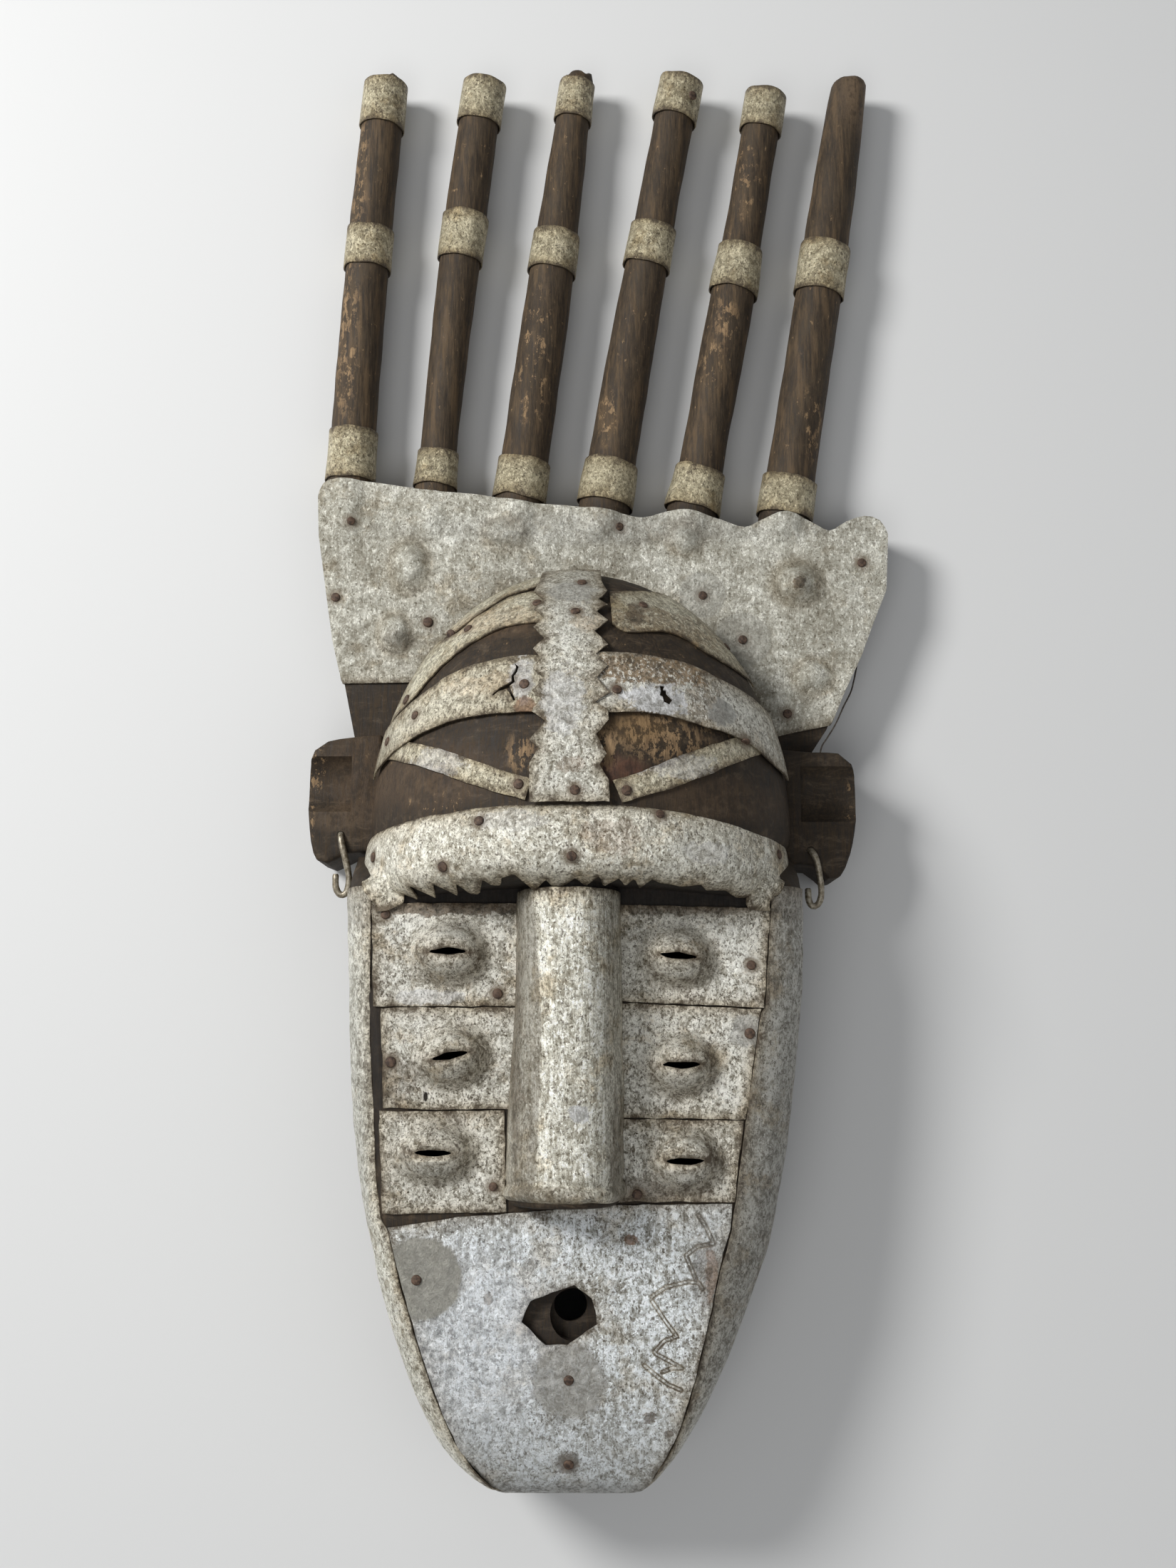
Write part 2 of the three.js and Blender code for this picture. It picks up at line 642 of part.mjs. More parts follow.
// Both long edges of the centre strip are cut in teeth.
function centreStripSheet() {
  const { top, foot, left, right, teeth, toothTop, toothFoot, toothDepth } = centreStrip;
  const { notch, notchDown, straightDown } = centreStrip;
  const pitch = (toothTop - toothFoot) / teeth;
  const edge = (x, inward) => {
    const points = [[x + inward * notch, top], [x, toothTop]];
    for (let i = 0; i < teeth; i += 1) {
      points.push([x + inward * toothDepth, toothTop - pitch * (i + 0.5)]);
      points.push([x, toothTop - pitch * (i + 1)]);
    }
    points.push([x + inward * notch, toothFoot - notchDown], [x, toothFoot - straightDown], [x, foot]);
    return points;
  };
  const outline = [...edge(right, -1), ...edge(left, 1).reverse()];
  return onDome(outline, overWood, crestThickness + overWood + seam);
}

function browBandSheet() {
  const { top, foot, tip, toothDepth, teeth, from, to, left, right, levelBeyond, topPoints } = browBand;
  const droop = (x) => browDroopAt(Math.max(-levelBeyond, Math.min(levelBeyond, x)));
  const upper = Array.from({ length: topPoints }, (_, i) => {
    const x = left + ((right - left) * i) / (topPoints - 1);
    return [x, top - droop(x)];
  });
  const pitch = (to - from) / teeth;
  const lower = [[left, tip - droop(left)]];
  for (let i = 0; i <= teeth; i += 1) {
    const x = from + pitch * i;
    lower.push([x, tip - droop(x)]);
    if (i < teeth) lower.push([x + pitch / 2, tip + toothDepth - droop(x)]);
  }
  lower.push([right, tip - droop(right)]);
  return browShape(overWood)
    .intersect(prism([...upper, ...lower.reverse()], foot, everywhere))
    .subtract(clearWood);
}

// A flat sheet with a raised, slit eye.
function eyePlate({ corners, eye }) {
  const low = faceLevel + clearance;
  const high = faceLevel + overWood;
  const halfWide = eye.wide / 2;
  const halfHigh = eye.high / 2;
  const outer = swelling(eye, halfWide, halfHigh, eyeRise, high, eyeSides.outer);
  const inner = swelling(eye, halfWide - eyeWall, halfHigh - eyeWall, eyeRise - eyeWall, high, eyeSides.inner);
  const slit = ovalPrism(eye, eyeSlit.length / 2, eyeSlit.height / 2, low, beyond, eye.turn, eyeSides.slit);
  return prism(corners, low, high)
    .add(outer.intersect(slab(low, beyond)))
    .subtract(inner)
    .subtract(slit)
    .subtract(noseShape(overWood + seam));
}

function chinPlate() {
  return shellShape(overWood)
    .intersect(prism(chinPlateOutline, sideStripFoot, beyond))
    .subtract(prism(mouth, 0, beyond))
    .subtract(clearWood)
    .subtract(noseShape(overWood + seam));
}

function noseSheath() {
  const { lowLeft, lowRight, top } = nosePlate;
  const outline = [[-beyond, lowLeft], [beyond, lowRight], [beyond, top], [-beyond, top]];
  const room = prism(outline, faceLevel + clearance, beyond);
  return noseShape(overWood)
    .intersect(room)
    .subtract(noseShape(clearance))
    .subtract(browShape(overWood + seam));
}

// The strips that wrap the edges of the face, outside the plates.
function sideStrip(side) {
  const inner = side < 0 ? sideStripInner.left : sideStripInner.right;
  const [lowX, highX] = [inner[0][0], inner.at(-1)[0]];
  const outline = [
    [lowX, -everywhere], ...inner, [highX, sideStripTop], [side * beyond, sideStripTop],
    [side * beyond, -everywhere],
  ];
  let strip = shellShape(overWood)
    .intersect(prism(outline, sideStripFoot, beyond))
    .subtract(clearWood)
    .subtract(browShape(overWood + seam));
  for (const plate of [...eyePlates.map(({ corners }) => corners), chinPlateOutline]) {
    strip = strip.subtract(prism(offsetOutline(plate, () => seam), 0, beyond));
  }
  return strip;
}

function rodBand(rod, [from, to]) {
  const outside = rodShape(rod, clearance + bandThickness, from, to, false);
  const inside = rodShape(rod, clearance, from - 2, to + 2, false);
  return outside.subtract(inside);
}

const mask = new THREE.Group();

// A cut can leave crumbs beside the piece, so only its largest body is kept.
function place(name, cut, finish) {
  const body = cut.decompose().reduce((most, next) => (next.volume() > most.volume() ? next : most));
  const { numProp, vertProperties, triVerts } = body.getMesh();
  const geometry = new THREE.BufferGeometry();
  const corners = vertProperties.length / numProp;
  const positions = new Float32Array(corners * 3);
  for (let i = 0; i < corners; i += 1) {
    positions.set(vertProperties.subarray(i * numProp, i * numProp + 3), i * 3);
  }
  geometry.setAttribute('position', new THREE.BufferAttribute(positions, 3));
  geometry.setIndex(new THREE.BufferAttribute(Uint32Array.from(triVerts), 1));
  const mesh = new THREE.Mesh(geometry, new THREE.MeshStandardMaterial(finish));
  mesh.name = name;
  mask.add(mesh);
}

place('carved_body', carvedBody(), wood);
place('crest_sheet', crestSheet(), aluminium);
place('forehead_centre_strip', centreStripSheet(), aluminium);

// The middle strips lie over the ends of their neighbours.
function middleRoom(name) {
  return prism(offsetOutline(stripOutline(foreheadStrips[name]), () => seam), 0, everywhere);
}

const middleRooms = {
  left: middleRoom('forehead_strip_left_middle'),
  right: middleRoom('forehead_strip_right_middle'),
};
for (const name of Object.keys(foreheadStrips)) {
  const side = name.includes('left') ? 'left' : 'right';
  const body = strip(name);
  place(name, name.endsWith('middle') ? body : body.subtract(middleRooms[side]), aluminium);
}

place('brow_band', browBandSheet(), aluminium);
for (const plate of eyePlates) place(plate.name, eyePlate(plate), aluminium);
place('nose_sheath', noseSheath(), aluminium);
place('chin_plate', chinPlate(), aluminium);
place('side_strip_left', sideStrip(-1), aluminium);
place('side_strip_right', sideStrip(1), aluminium);
rods.forEach((rod, r) => {
  rod.bands.forEach((band, b) => {
    place(`rod_${r + 1}_band_${['lower', 'middle', 'upper'][b]}`, rodBand(rod, band), warmAluminium);
  });
});
place('ear_hook_left', hooks.ear_hook_left, warmAluminium);
place('ear_hook_right', hooks.ear_hook_right, warmAluminium);
place('loose_wire', bentBar(wirePath, wireRadius, wireSides, wireSteps), warmAluminium);

mask.position.set(-centreOfBox.x, -centreOfBox.y, 0);

export default mask;
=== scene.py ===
"""A konde mask of carved wood and nailed sheet aluminium, lying on its open back."""

import bpy
import bmesh
import math
from mathutils import Matrix, Vector, noise
from mathutils.bvhtree import BVHTree
from mathutils.kdtree import KDTree


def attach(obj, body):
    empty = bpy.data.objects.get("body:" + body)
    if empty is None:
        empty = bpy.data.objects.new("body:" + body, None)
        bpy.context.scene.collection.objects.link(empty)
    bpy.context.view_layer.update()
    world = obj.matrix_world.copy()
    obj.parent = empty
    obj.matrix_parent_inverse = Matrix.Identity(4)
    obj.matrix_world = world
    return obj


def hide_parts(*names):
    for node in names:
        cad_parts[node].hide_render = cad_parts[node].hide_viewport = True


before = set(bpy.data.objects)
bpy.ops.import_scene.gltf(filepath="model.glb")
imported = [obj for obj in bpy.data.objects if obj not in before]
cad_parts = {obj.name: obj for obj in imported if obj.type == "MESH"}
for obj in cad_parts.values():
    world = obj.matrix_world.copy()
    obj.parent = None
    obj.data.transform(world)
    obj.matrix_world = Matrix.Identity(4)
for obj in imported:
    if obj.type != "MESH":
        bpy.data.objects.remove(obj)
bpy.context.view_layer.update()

# Points are in millimetres, measured from the top end of the nose as in the mask's drawing.
MM = 0.001
CENTRE = (16.34, 86.62)


def at(x, y, z=0.0):
    return Vector(((x - CENTRE[0]) * MM, (y - CENTRE[1]) * MM, z * MM))


def drawn(place):
    """The drawing's x and y of a point."""
    return place.x / MM + CENTRE[0], place.y / MM + CENTRE[1]


# Levels and thicknesses
FACE_LEVEL = 85
STRAIGHT_LEVEL = 34
CREST_LEVEL = 28
SHEET = 0.9
BAND_SHEET = 0.75
GAP = 0.35
# How much higher a sheet lies that covers the end of another
OVERLAP = 1.1
# Widths of the nets that the sheets are cut into
NET = 2.6
DOME_NET = 2.5
EYE_NET = 1.7
CRUSHED_NET = 1.5

# The dome: its middle, how far it goes from there, its height, and the power that makes it full
DOME = {"x": 4.5, "y": 30, "z": 30, "left": 102, "right": 104, "up": 132, "down": 34,
        "tall": 97, "full": 2.2}
# The brow's front: how far it stands out over the dome, as (y, out)
BROW_PROFILE = [(1.8, -7.5), (6, 0.3), (13, 3.8), (22, 4.2), (31, 2.2), (39, -5)]
BROW_MIDDLE = 3
BROW_HALF = 101
BROW_FOOT = 20
BROW_WOOD = 0.955

# Sides of the face from the front, as (y, x)
LEFT_SIDE = [
    (-270.5, -27), (-269.4, -33), (-266, -41), (-246, -60), (-203, -78.5), (-152, -92), (-102, -99.5),
    (-36, -103), (2, -104), (20, -103),
]
RIGHT_SIDE = [
    (-270.5, 28), (-269.4, 33), (-266, 38.5), (-246, 54), (-203, 75.5), (-152, 93.5), (-102, 102.5),
    (-36, 109), (2, 110), (20, 108),
]
# How far the front lies inside the sides, as (y, inset), and the share of it at each height
SHOULDER_LEFT = [
    (-270.5, 3), (-262, 7), (-250, 10), (-225, 11), (-202, 11.5), (-145, 11), (-100, 14.5), (-5, 13),
]
SHOULDER_RIGHT = [
    (-270.5, 3), (-262, 5), (-246, 7.5), (-230, 11), (-188, 18), (-152, 20), (-105, 21), (-55, 18.5),
    (-13, 17),
]
SHOULDER_ROUND = [(0, 0.35), (34, 0.06), (62, 0.0), (77, 0.34), (85, 1.0)]
# How far the front falls away at the chin and under the brow, as (y, drop)
FRONT_DROP = [
    (-270.5, 22.5), (-267, 16.5), (-261, 12), (-250, 7.5), (-225, 3.5), (-190, 1), (-152, 0), (3, 0),
    (20, 34),
]

# Half widths of the nose, as (y, half)
NOSE_LEFT = [(-141.5, 27.5), (-100, 25.5), (-40, 22.5), (6, 22)]
NOSE_RIGHT = [(-141.5, 23.5), (-100, 23.5), (-40, 22.5), (6, 22)]
NOSE_TIP = -141.5
NOSE_RISE = 39
NOSE_ROUND = 0.85

# Outlines of the ears and of the crest plate
LEFT_EAR = [
    (-92, 81), (-107, 79.5), (-119, 77.5), (-125.5, 73), (-128, 63), (-128.3, 48), (-126.5, 28),
    (-123.5, 19), (-118.5, 17), (-108, 22), (-92, 28),
]
RIGHT_EAR = [
    (96, 74), (119, 72), (132, 71.5), (138.5, 66), (140.6, 54), (140, 38), (137, 22),
    (131.5, 10), (126, 9.5), (118, 16), (96, 22),
]
CREST_TOP = [
    (-127.8, 207), (-125.5, 213), (-119, 215), (-98, 212.8), (-73, 209), (-47, 206.5), (-23, 202.5),
    (2, 200.5), (22, 197.5), (37, 194.5), (50, 198), (60, 198), (76, 193.5), (89, 189.5), (99, 194),
    (110, 197), (122, 192.5), (132, 187.7), (141, 192.5), (150, 195.5), (157, 193.5), (160.5, 187),
]
BOSS_SKIRT = 1.25
ROD_COVER = 182
CREST_RIGHT = [(159, 158), (152, 141), (146, 125), (137, 106), (128.5, 86), (118, 70), (104, 50)]
CREST_LEFT = [(-98, 40), (-106, 72), (-114, 111), (-119, 132), (-123, 159), (-127, 186)]
# Bosses of the crest sheet: x, y, width, height, rise, and a power that makes the top blunt or pointed
BOSSES = [
    (-82, 170, 19, 26, 6, 2), (-34, 187, 20, 16, 5, 2), (-89, 135, 16, 20, 5.5, 2),
    (58, 184, 17, 15, 5.5, 2), (115, 161, 23, 22, 8.5, 1.1), (115.5, 160, 6, 6, 2.2, 2),
    (122, 113, 19, 17, 4.5, 2),
]

# Rods: x of the foot and of the tip, bow between them, y and roughness of the end, widths, and bands
ROD_STATIONS = [205, 232, 307, 370, 440]
ROD_LEVEL = 17
ROD_LIMIT = 358.2
RODS = [
    {"foot": -115, "tip": -99.3, "bow": -1.5, "end": 441.5, "ragged": 2.4,
     "wide": [26, 24, 23.6, 23.2, 21.6], "bands": [(218, 245), (334, 356), (414, 439.5)]},
    {"foot": -71.2, "tip": -46.5, "bow": -1.8, "end": 441, "ragged": 1.5,
     "wide": [23, 19.5, 21.3, 22.8, 21.3], "bands": [(215, 234), (339, 364), (416, 439.5)]},
    {"foot": -27.4, "tip": 3.2, "bow": 0.4, "end": 445, "ragged": 5,
     "wide": [27, 25.5, 25, 21.8, 17], "bands": [(208, 229), (332, 354), (418, 440)]},
    {"foot": 17.4, "tip": 59, "bow": -1, "end": 442, "ragged": 1.2,
     "wide": [27.6, 26, 24.4, 22, 21.8], "bands": [(205.5, 228), (335, 358), (418.5, 441)]},
    {"foot": 63.2, "tip": 105.3, "bow": 1.2, "end": 435, "ragged": 1.2,
     "wide": [27, 23.8, 24.4, 20.6, 20.4], "bands": [(202.5, 224), (321, 346), (412, 433.5)]},
    {"foot": 111.3, "tip": 149, "bow": 0.5, "end": 441.5, "ragged": 0.8,
     "wide": [27.6, 26, 25, 24, 19.5], "bands": [(198.5, 219), (320, 347)]},
]

# Eye plates: corners, the eye's middle, its width and height, and its turn in degrees
EYES = {
    "left_upper": {"plate": [(-91, -5.5), (-18, -6), (-18, -53), (-89.5, -53)],
                   "eye": (-55, -28.5), "size": (36, 29), "turn": 0},
    "left_middle": {"plate": [(-86, -53.7), (-18, -53.5), (-18, -99.7), (-84, -99.2)],
                    "eye": (-53.5, -75.5), "size": (35, 28), "turn": 12},
    "left_lower": {"plate": [(-86, -100.3), (-29, -100.2), (-28, -145), (-84, -145.8)],
                   "eye": (-60.5, -118.5), "size": (37, 28), "turn": 0},
    "right_upper": {"plate": [(18, -6.5), (93, -8), (89.5, -53.8), (18, -50.5)],
                    "eye": (50, -30.5), "size": (35, 27), "turn": -6},
    "right_middle": {"plate": [(18, -51.2), (88, -54.5), (80.5, -104), (18, -103.2)],
                     "eye": (51, -79.5), "size": (34, 28), "turn": 0},
    "right_lower": {"plate": [(18, -103.9), (79.5, -104.7), (75, -140.6), (18, -140.6)],
                    "eye": (52.5, -122), "size": (34, 29), "turn": 0},
}
EYE_RISE = 11
EYE_SKIRT = 1.12
# Half the length and height of the slit in the sheet and of the hole in the wood
SLIT = (8.2, 2.05)
EYE_HOLE = (9, 4)

# Edges of the chin plate and of the mouth
CHIN_LEFT = [
    (-26, -270.1), (-32, -268.9), (-43, -256), (-50, -246), (-59, -225), (-67, -202), (-75, -176),
    (-81, -152),
]
CHIN_TOP = [(-50, -147.3), (-28, -145.8), (0, -143.6), (28, -141.9), (74, -141.4)]
CHIN_RIGHT = [
    (73, -152), (68, -169), (64, -188), (58.5, -210), (53, -230), (47, -246), (35.5, -266.5),
    (33, -268.9), (27, -270.1),
]
MOUTH = [(-21, -193), (-17, -184), (-7, -180), (3, -177), (11, -183), (13, -194), (0, -203), (-10, -203)]

# Forehead strips: the upper edge and the lower edge
STRIPS = {
    "forehead_strip_left_rim": (
        [(-8, 170), (-32, 168), (-60, 160), (-72, 140)],
        [(-8, 148), (-29, 142), (-45, 131.5), (-57, 124)]),
    "forehead_strip_left_upper": (
        [(-8, 142.5), (-26, 141.5), (-42, 132.3), (-57.5, 122.5), (-80, 125), (-105, 84)],
        [(-8, 121), (-16, 123), (-33, 121), (-51, 112), (-64, 101.5), (-74, 91), (-90, 81)]),
    "forehead_strip_left_middle": (
        [(-8, 104), (-25, 105), (-49, 101), (-68, 92), (-83, 83), (-92, 78), (-110, 70)],
        [(-8, 77), (-34, 77), (-55, 75), (-71, 70), (-86, 63), (-97, 55), (-110, 46)]),
    "forehead_strip_left_lower": (
        [(-16, 46), (-33, 52), (-62, 64), (-90, 74)], [(-19, 36.8), (-41, 44), (-71, 57), (-100, 69)]),
    "forehead_strip_right_upper": (
        [(19, 141.5), (31, 143.5), (46, 147), (62, 150), (90, 130), (110, 104)],
        [(20, 122), (27, 118), (46, 120), (57, 116), (69, 110), (82, 106), (110, 101)]),
    "forehead_strip_right_middle": (
        [(8, 106), (27, 106), (42, 105), (55, 103), (72, 97), (84, 93), (97, 87), (115, 82)],
        [(8, 76), (38, 77), (60, 73), (82, 68), (94, 61), (103, 57), (115, 52)]),
    "forehead_strip_right_lower": (
        [(19.5, 45), (33, 50), (62, 63), (90, 75)], [(24, 35.5), (52, 45), (86, 62), (100, 69)]),
}


def along(points, where):
    """A smooth line through a few points (where, value) that never swings past them."""
    last = len(points) - 1
    if where <= points[0][0]:
        return points[0][1]
    if where >= points[last][0]:
        return points[last][1]
    k = 0
    while where > points[k + 1][0]:
        k += 1

    def rate(i):
        return (points[i + 1][1] - points[i][1]) / (points[i + 1][0] - points[i][0])

    def slope(i):
        if i == 0:
            return rate(0)
        if i == last:
            return rate(last - 1)
        product = rate(i - 1) * rate(i)
        return 0 if product <= 0 else 2 * product / (rate(i - 1) + rate(i))

    gap = points[k + 1][0] - points[k][0]
    t = (where - points[k][0]) / gap
    start = (2 * t ** 3 - 3 * t ** 2 + 1) * points[k][1] + (t ** 3 - 2 * t ** 2 + t) * gap * slope(k)
    end = (3 * t ** 2 - 2 * t ** 3) * points[k + 1][1] + (t ** 3 - t ** 2) * gap * slope(k + 1)
    return start + end


def smooth(points, step=3.0):
    """A row of points on a soft curve through the given ones, about a step apart."""
    out = []
    count = len(points)
    for i in range(count - 1):
        p0, p1 = points[max(i - 1, 0)], points[i]
        p2, p3 = points[i + 1], points[min(i + 2, count - 1)]
        pieces = max(1, round(math.dist(p1, p2) / step))
        for j in range(pieces):
            t = j / pieces
            out.append(tuple(
                0.5 * (2 * b + (c - a) * t + (2 * a - 5 * b + 4 * c - d) * t * t
                       + (3 * b - a - 3 * c + d) * t ** 3)
                for a, b, c, d in zip(p0, p1, p2, p3)))
    out.append(tuple(points[-1]))
    return out


def wander(x, y, size, amount, seed=0.0):
    """A small offset that changes slowly from place to place."""
    return amount * noise.noise(Vector((x / size, y / size, seed)))


def bell(value, middle, width):
    """One at the middle, falling softly to nothing on both sides."""
    return math.exp(-((value - middle) / width) ** 2)


def ramp(value, low, high):
    """How far a value has gone from low to high, from nothing to one."""
    return min(1.0, max(0.0, (value - low) / (high - low)))


def deselect():
    bpy.ops.object.select_all(action="DESELECT")


def choose(piece):
    deselect()
    piece.select_set(True)
    bpy.context.view_layer.objects.active = piece


def edit(piece):
    choose(piece)
    bpy.ops.object.mode_set(mode="EDIT")
    bpy.ops.mesh.select_mode(type="VERT")
    bpy.ops.mesh.select_all(action="SELECT")


def leave():
    bpy.ops.object.mode_set(mode="OBJECT")


def leave_outward():
    """Turns every face of a solid outward and ends its editing."""
    bpy.ops.mesh.select_all(action="SELECT")
    bpy.ops.mesh.normals_make_consistent(inside=False)
    leave()


def weld():
    bpy.ops.mesh.remove_doubles(threshold=0.00002)


def loft(name, rings, capped=True):
    """A round primitive, extruded from ring to ring."""
    deselect()
    bpy.ops.mesh.primitive_circle_add(
        vertices=len(rings[0]), radius=0.01, fill_type="NGON" if capped else "NOTHING")
    piece = bpy.context.object
    piece.name = piece.data.name = name
    edit(piece)
    for number, ring in enumerate(rings):
        if number:
            bpy.ops.mesh.extrude_region_move()
        mesh = bmesh.from_edit_mesh(piece.data)
        order = mesh.verts.layers.int.get("order") or mesh.verts.layers.int.new("order")
        if number == 0:
            for i, vert in enumerate(mesh.verts):
                vert[order] = i
        for vert in mesh.verts:
            if vert.select:
                vert.co = ring[vert[order]]
        bmesh.update_edit_mesh(piece.data)
    leave_outward()
    spare = piece.data.attributes.get("order")
    if spare:
        piece.data.attributes.remove(spare)
    return piece


def grid(name, rows):
    """A grid primitive laid over rows of points."""
    deselect()
    across, down = len(rows[0]) - 1, len(rows) - 1
    bpy.ops.mesh.primitive_grid_add(x_subdivisions=across, y_subdivisions=down, size=0.1)
    piece = bpy.context.object
    piece.name = piece.data.name = name
    flat = [p for row in rows for p in row]
    for vert, place in zip(piece.data.vertices, flat):
        vert.co = place
    piece.data.update()
    return piece


def flat_shape(name, outline, holes=()):
    """A filled flat curve made a mesh with one clean face."""
    deselect()
    curve = bpy.data.curves.new(name, "CURVE")
    curve.dimensions = "2D"
    curve.fill_mode = "BOTH"
    for loop in (outline, *holes):
        spline = curve.splines.new("POLY")
        spline.points.add(len(loop) - 1)
        for point, (x, y) in zip(spline.points, loop):
            point.co = (*at(x, y), 1)
        spline.use_cyclic_u = True
    piece = bpy.data.objects.new(name, curve)
    bpy.context.collection.objects.link(piece)
    choose(piece)
    bpy.ops.object.convert(target="MESH")
    piece = bpy.context.object
    edit(piece)
    weld()
    bpy.ops.mesh.dissolve_limited(angle_limit=0.01)
    leave()
    return piece


def net(piece, step):
    """Cuts a flat piece by evenly spaced lines both ways."""
    xs = [v.co.x for v in piece.data.vertices]
    ys = [v.co.y for v in piece.data.vertices]
    edit(piece)
    for low, high, normal in ((min(xs), max(xs), (1, 0, 0)), (min(ys), max(ys), (0, 1, 0))):
        count = max(2, round((high - low) / (step * MM)))
        for i in range(1, count):
            where = low + (high - low) * (i + 0.013) / count
            bpy.ops.mesh.select_all(action="SELECT")
            bpy.ops.mesh.bisect(
                plane_co=(where, where, 0), plane_no=normal, use_fill=False, threshold=0.00001)
    bpy.ops.mesh.select_all(action="SELECT")
    weld()
    leave()


def slab(name, outline, low, high):
    """A flat shape drawn up to a block."""
    piece = flat_shape(name, outline)
    edit(piece)
    bpy.ops.transform.translate(value=(0, 0, low * MM))
    bpy.ops.mesh.extrude_region_move(TRANSFORM_OT_translate={"value": (0, 0, (high - low) * MM)})
    leave_outward()
    return piece


def apply_all(piece):
    choose(piece)
    for modifier in list(piece.modifiers):
        bpy.ops.object.modifier_apply(modifier=modifier.name)


def add(piece, kind, **values):
    modifier = piece.modifiers.new(kind.lower(), kind)
    for key, value in values.items():
        setattr(modifier, key, value)
    return modifier


def round_edges(piece, width, segments, sharpest):
    """Rounds the edges that are sharper than an angle in degrees."""
    add(piece, "BEVEL", width=width * MM, segments=segments, limit_method="ANGLE",
        angle_limit=math.radians(sharpest))


def combine(piece, other, how, keep=False):
    add(piece, "BOOLEAN", operation=how, object=other, solver="MANIFOLD")
    apply_all(piece)
    if not keep:
        bpy.data.objects.remove(other)


def soft_angle(piece, degrees):
    choose(piece)
    bpy.ops.object.shade_smooth_by_angle(angle=math.radians(degrees))


def face_up(piece, inner=None):
    """Turns a sheet's faces away from the wood."""
    mesh = piece.data
    total = 0.0
    for face in mesh.polygons:
        out = Vector((0, 0, 1)) if inner is None else face.center - inner
        total += face.normal.dot(out) * face.area
    if total < 0:
        mesh.flip_normals()


# The forms of the wood

def dome_reach(rightward, upward, grow=0.0):
    """How far the dome goes from its middle, across and along, on one side of it."""
    wide = DOME["right"] if rightward > 0 else DOME["left"]
    reach = DOME["up"] if upward > 0 else DOME["down"]
    return wide + grow, reach + grow


def dome_edge(angle, share, grow=0.0):
    """A place on the dome's outline from the front, or a share of the way out to it."""
    wide, reach = dome_reach(math.cos(angle), math.sin(angle), grow)
    return DOME["x"] + wide * share * math.cos(angle), DOME["y"] + reach * share * math.sin(angle)


def dome_share(x, y, grow=0.0):
    """A place's way from the dome's middle to its outline, across and along."""
    wide, reach = dome_reach(x - DOME["x"], y - DOME["y"], grow)
    return (x - DOME["x"]) / wide, (y - DOME["y"]) / reach


def dome_rings(grow, base, sides, steps):
    """Level sections through the dome, from its base to its top."""
    turns = [2 * math.pi * (i + 0.5) / sides + math.pi / 2 for i in range(sides)]
    top = DOME["tall"] + grow
    power = 2 / DOME["full"]
    levels = [(1, base)]
    for k in range(steps + 1):
        rise = math.pi / 2 * k / (steps + 0.25)
        levels.append((math.cos(rise) ** power, DOME["z"] + top * math.sin(rise) ** power))
    levels.append((0.03, DOME["z"] + top))
    return [[at(*dome_edge(turn, share, grow), z) for turn in turns] for share, z in levels]


def shell_point(y, side, z, grow=0.0):
    """A point on the outside of the face's shell at height z on one side."""
    outer = along(LEFT_SIDE if side < 0 else RIGHT_SIDE, y)
    shoulder = along(SHOULDER_LEFT if side < 0 else SHOULDER_RIGHT, y)
    outward = grow * (1 - ramp(z, 70, FACE_LEVEL)) - along(SHOULDER_ROUND, z) * shoulder
    upward = grow * ramp(z, 60, FACE_LEVEL) - ramp(z, STRAIGHT_LEVEL, FACE_LEVEL) * along(FRONT_DROP, y)
    return outer + side * outward, z + upward


def shell_rings():
    """Sections across the face's shell, from the chin up to the brow."""
    stations = [-270.5, -269.4, -268, -265, -262, -256, -250, -241, -232, -220, -208, -194, -180, -166,
                -152, -136, -120, -102, -85, -62, -40, -18, 3, 8, 12, 16, 20]
    levels = [0, 12, 24, STRAIGHT_LEVEL, 48, 60, 66, 71, 75, 78, 80.5, 82.5, 84, FACE_LEVEL]
    rings = []
    for y in stations:
        left = [shell_point(y, -1, z) for z in levels]
        right = [shell_point(y, 1, z) for z in reversed(levels)]
        rings.append([at(x, y, level) for x, level in (*left, *right)])
    return rings


def brow_droop(x):
    """How much lower the brow hangs towards its ends."""
    return 7 * (abs(x - BROW_MIDDLE) / 95) ** 2.2


def brow_point(angle, y, out, grow=0.0):
    """A point on the brow's arch, at an angle round it from its left end."""
    power = 2 / DOME["full"]
    across = -math.copysign(abs(math.cos(angle)) ** power, math.cos(angle))
    x = BROW_MIDDLE + (BROW_HALF + out * 0.6 + grow) * across
    z = DOME["z"] + (DOME["tall"] + out + grow) * abs(math.sin(angle)) ** power
    return x, y - brow_droop(x), z


def brow_rings():
    """Sections along the brow's arch, from under the face up to the forehead."""
    stations = [(1.5, -46), (1.5, -16), (1.7, -9.5)]
    for y in (2.6, 4, 6, 8.5, 11, 14, 18, 22, 26, 30, 34, 37, 39):
        stations.append((y, along(BROW_PROFILE, y)))
    rings = []
    for y, out in stations:
        arch = [brow_point(math.pi * i / 47, y, out - 0.8) for i in range(48)]
        arch = [(BROW_MIDDLE + (x - BROW_MIDDLE) * BROW_WOOD, level, z) for x, level, z in arch]
        foot = [(*end[:2], BROW_FOOT) for end in (arch[0], arch[-1])]
        rings.append([at(*p) for p in (foot[0], *arch, foot[1])])
    return rings


def nose_point(y, angle, grow=0.0, less=0.0):
    """A point on the nose's arch, at an angle round it from its left side."""
    side = -1 if angle < math.pi / 2 else 1
    half = along(NOSE_LEFT if side < 0 else NOSE_RIGHT, y) + grow - less
    x = side * half * abs(math.cos(angle)) ** NOSE_ROUND
    return x, FACE_LEVEL - 8 + (NOSE_RISE + grow - less) * math.sin(angle) ** NOSE_ROUND


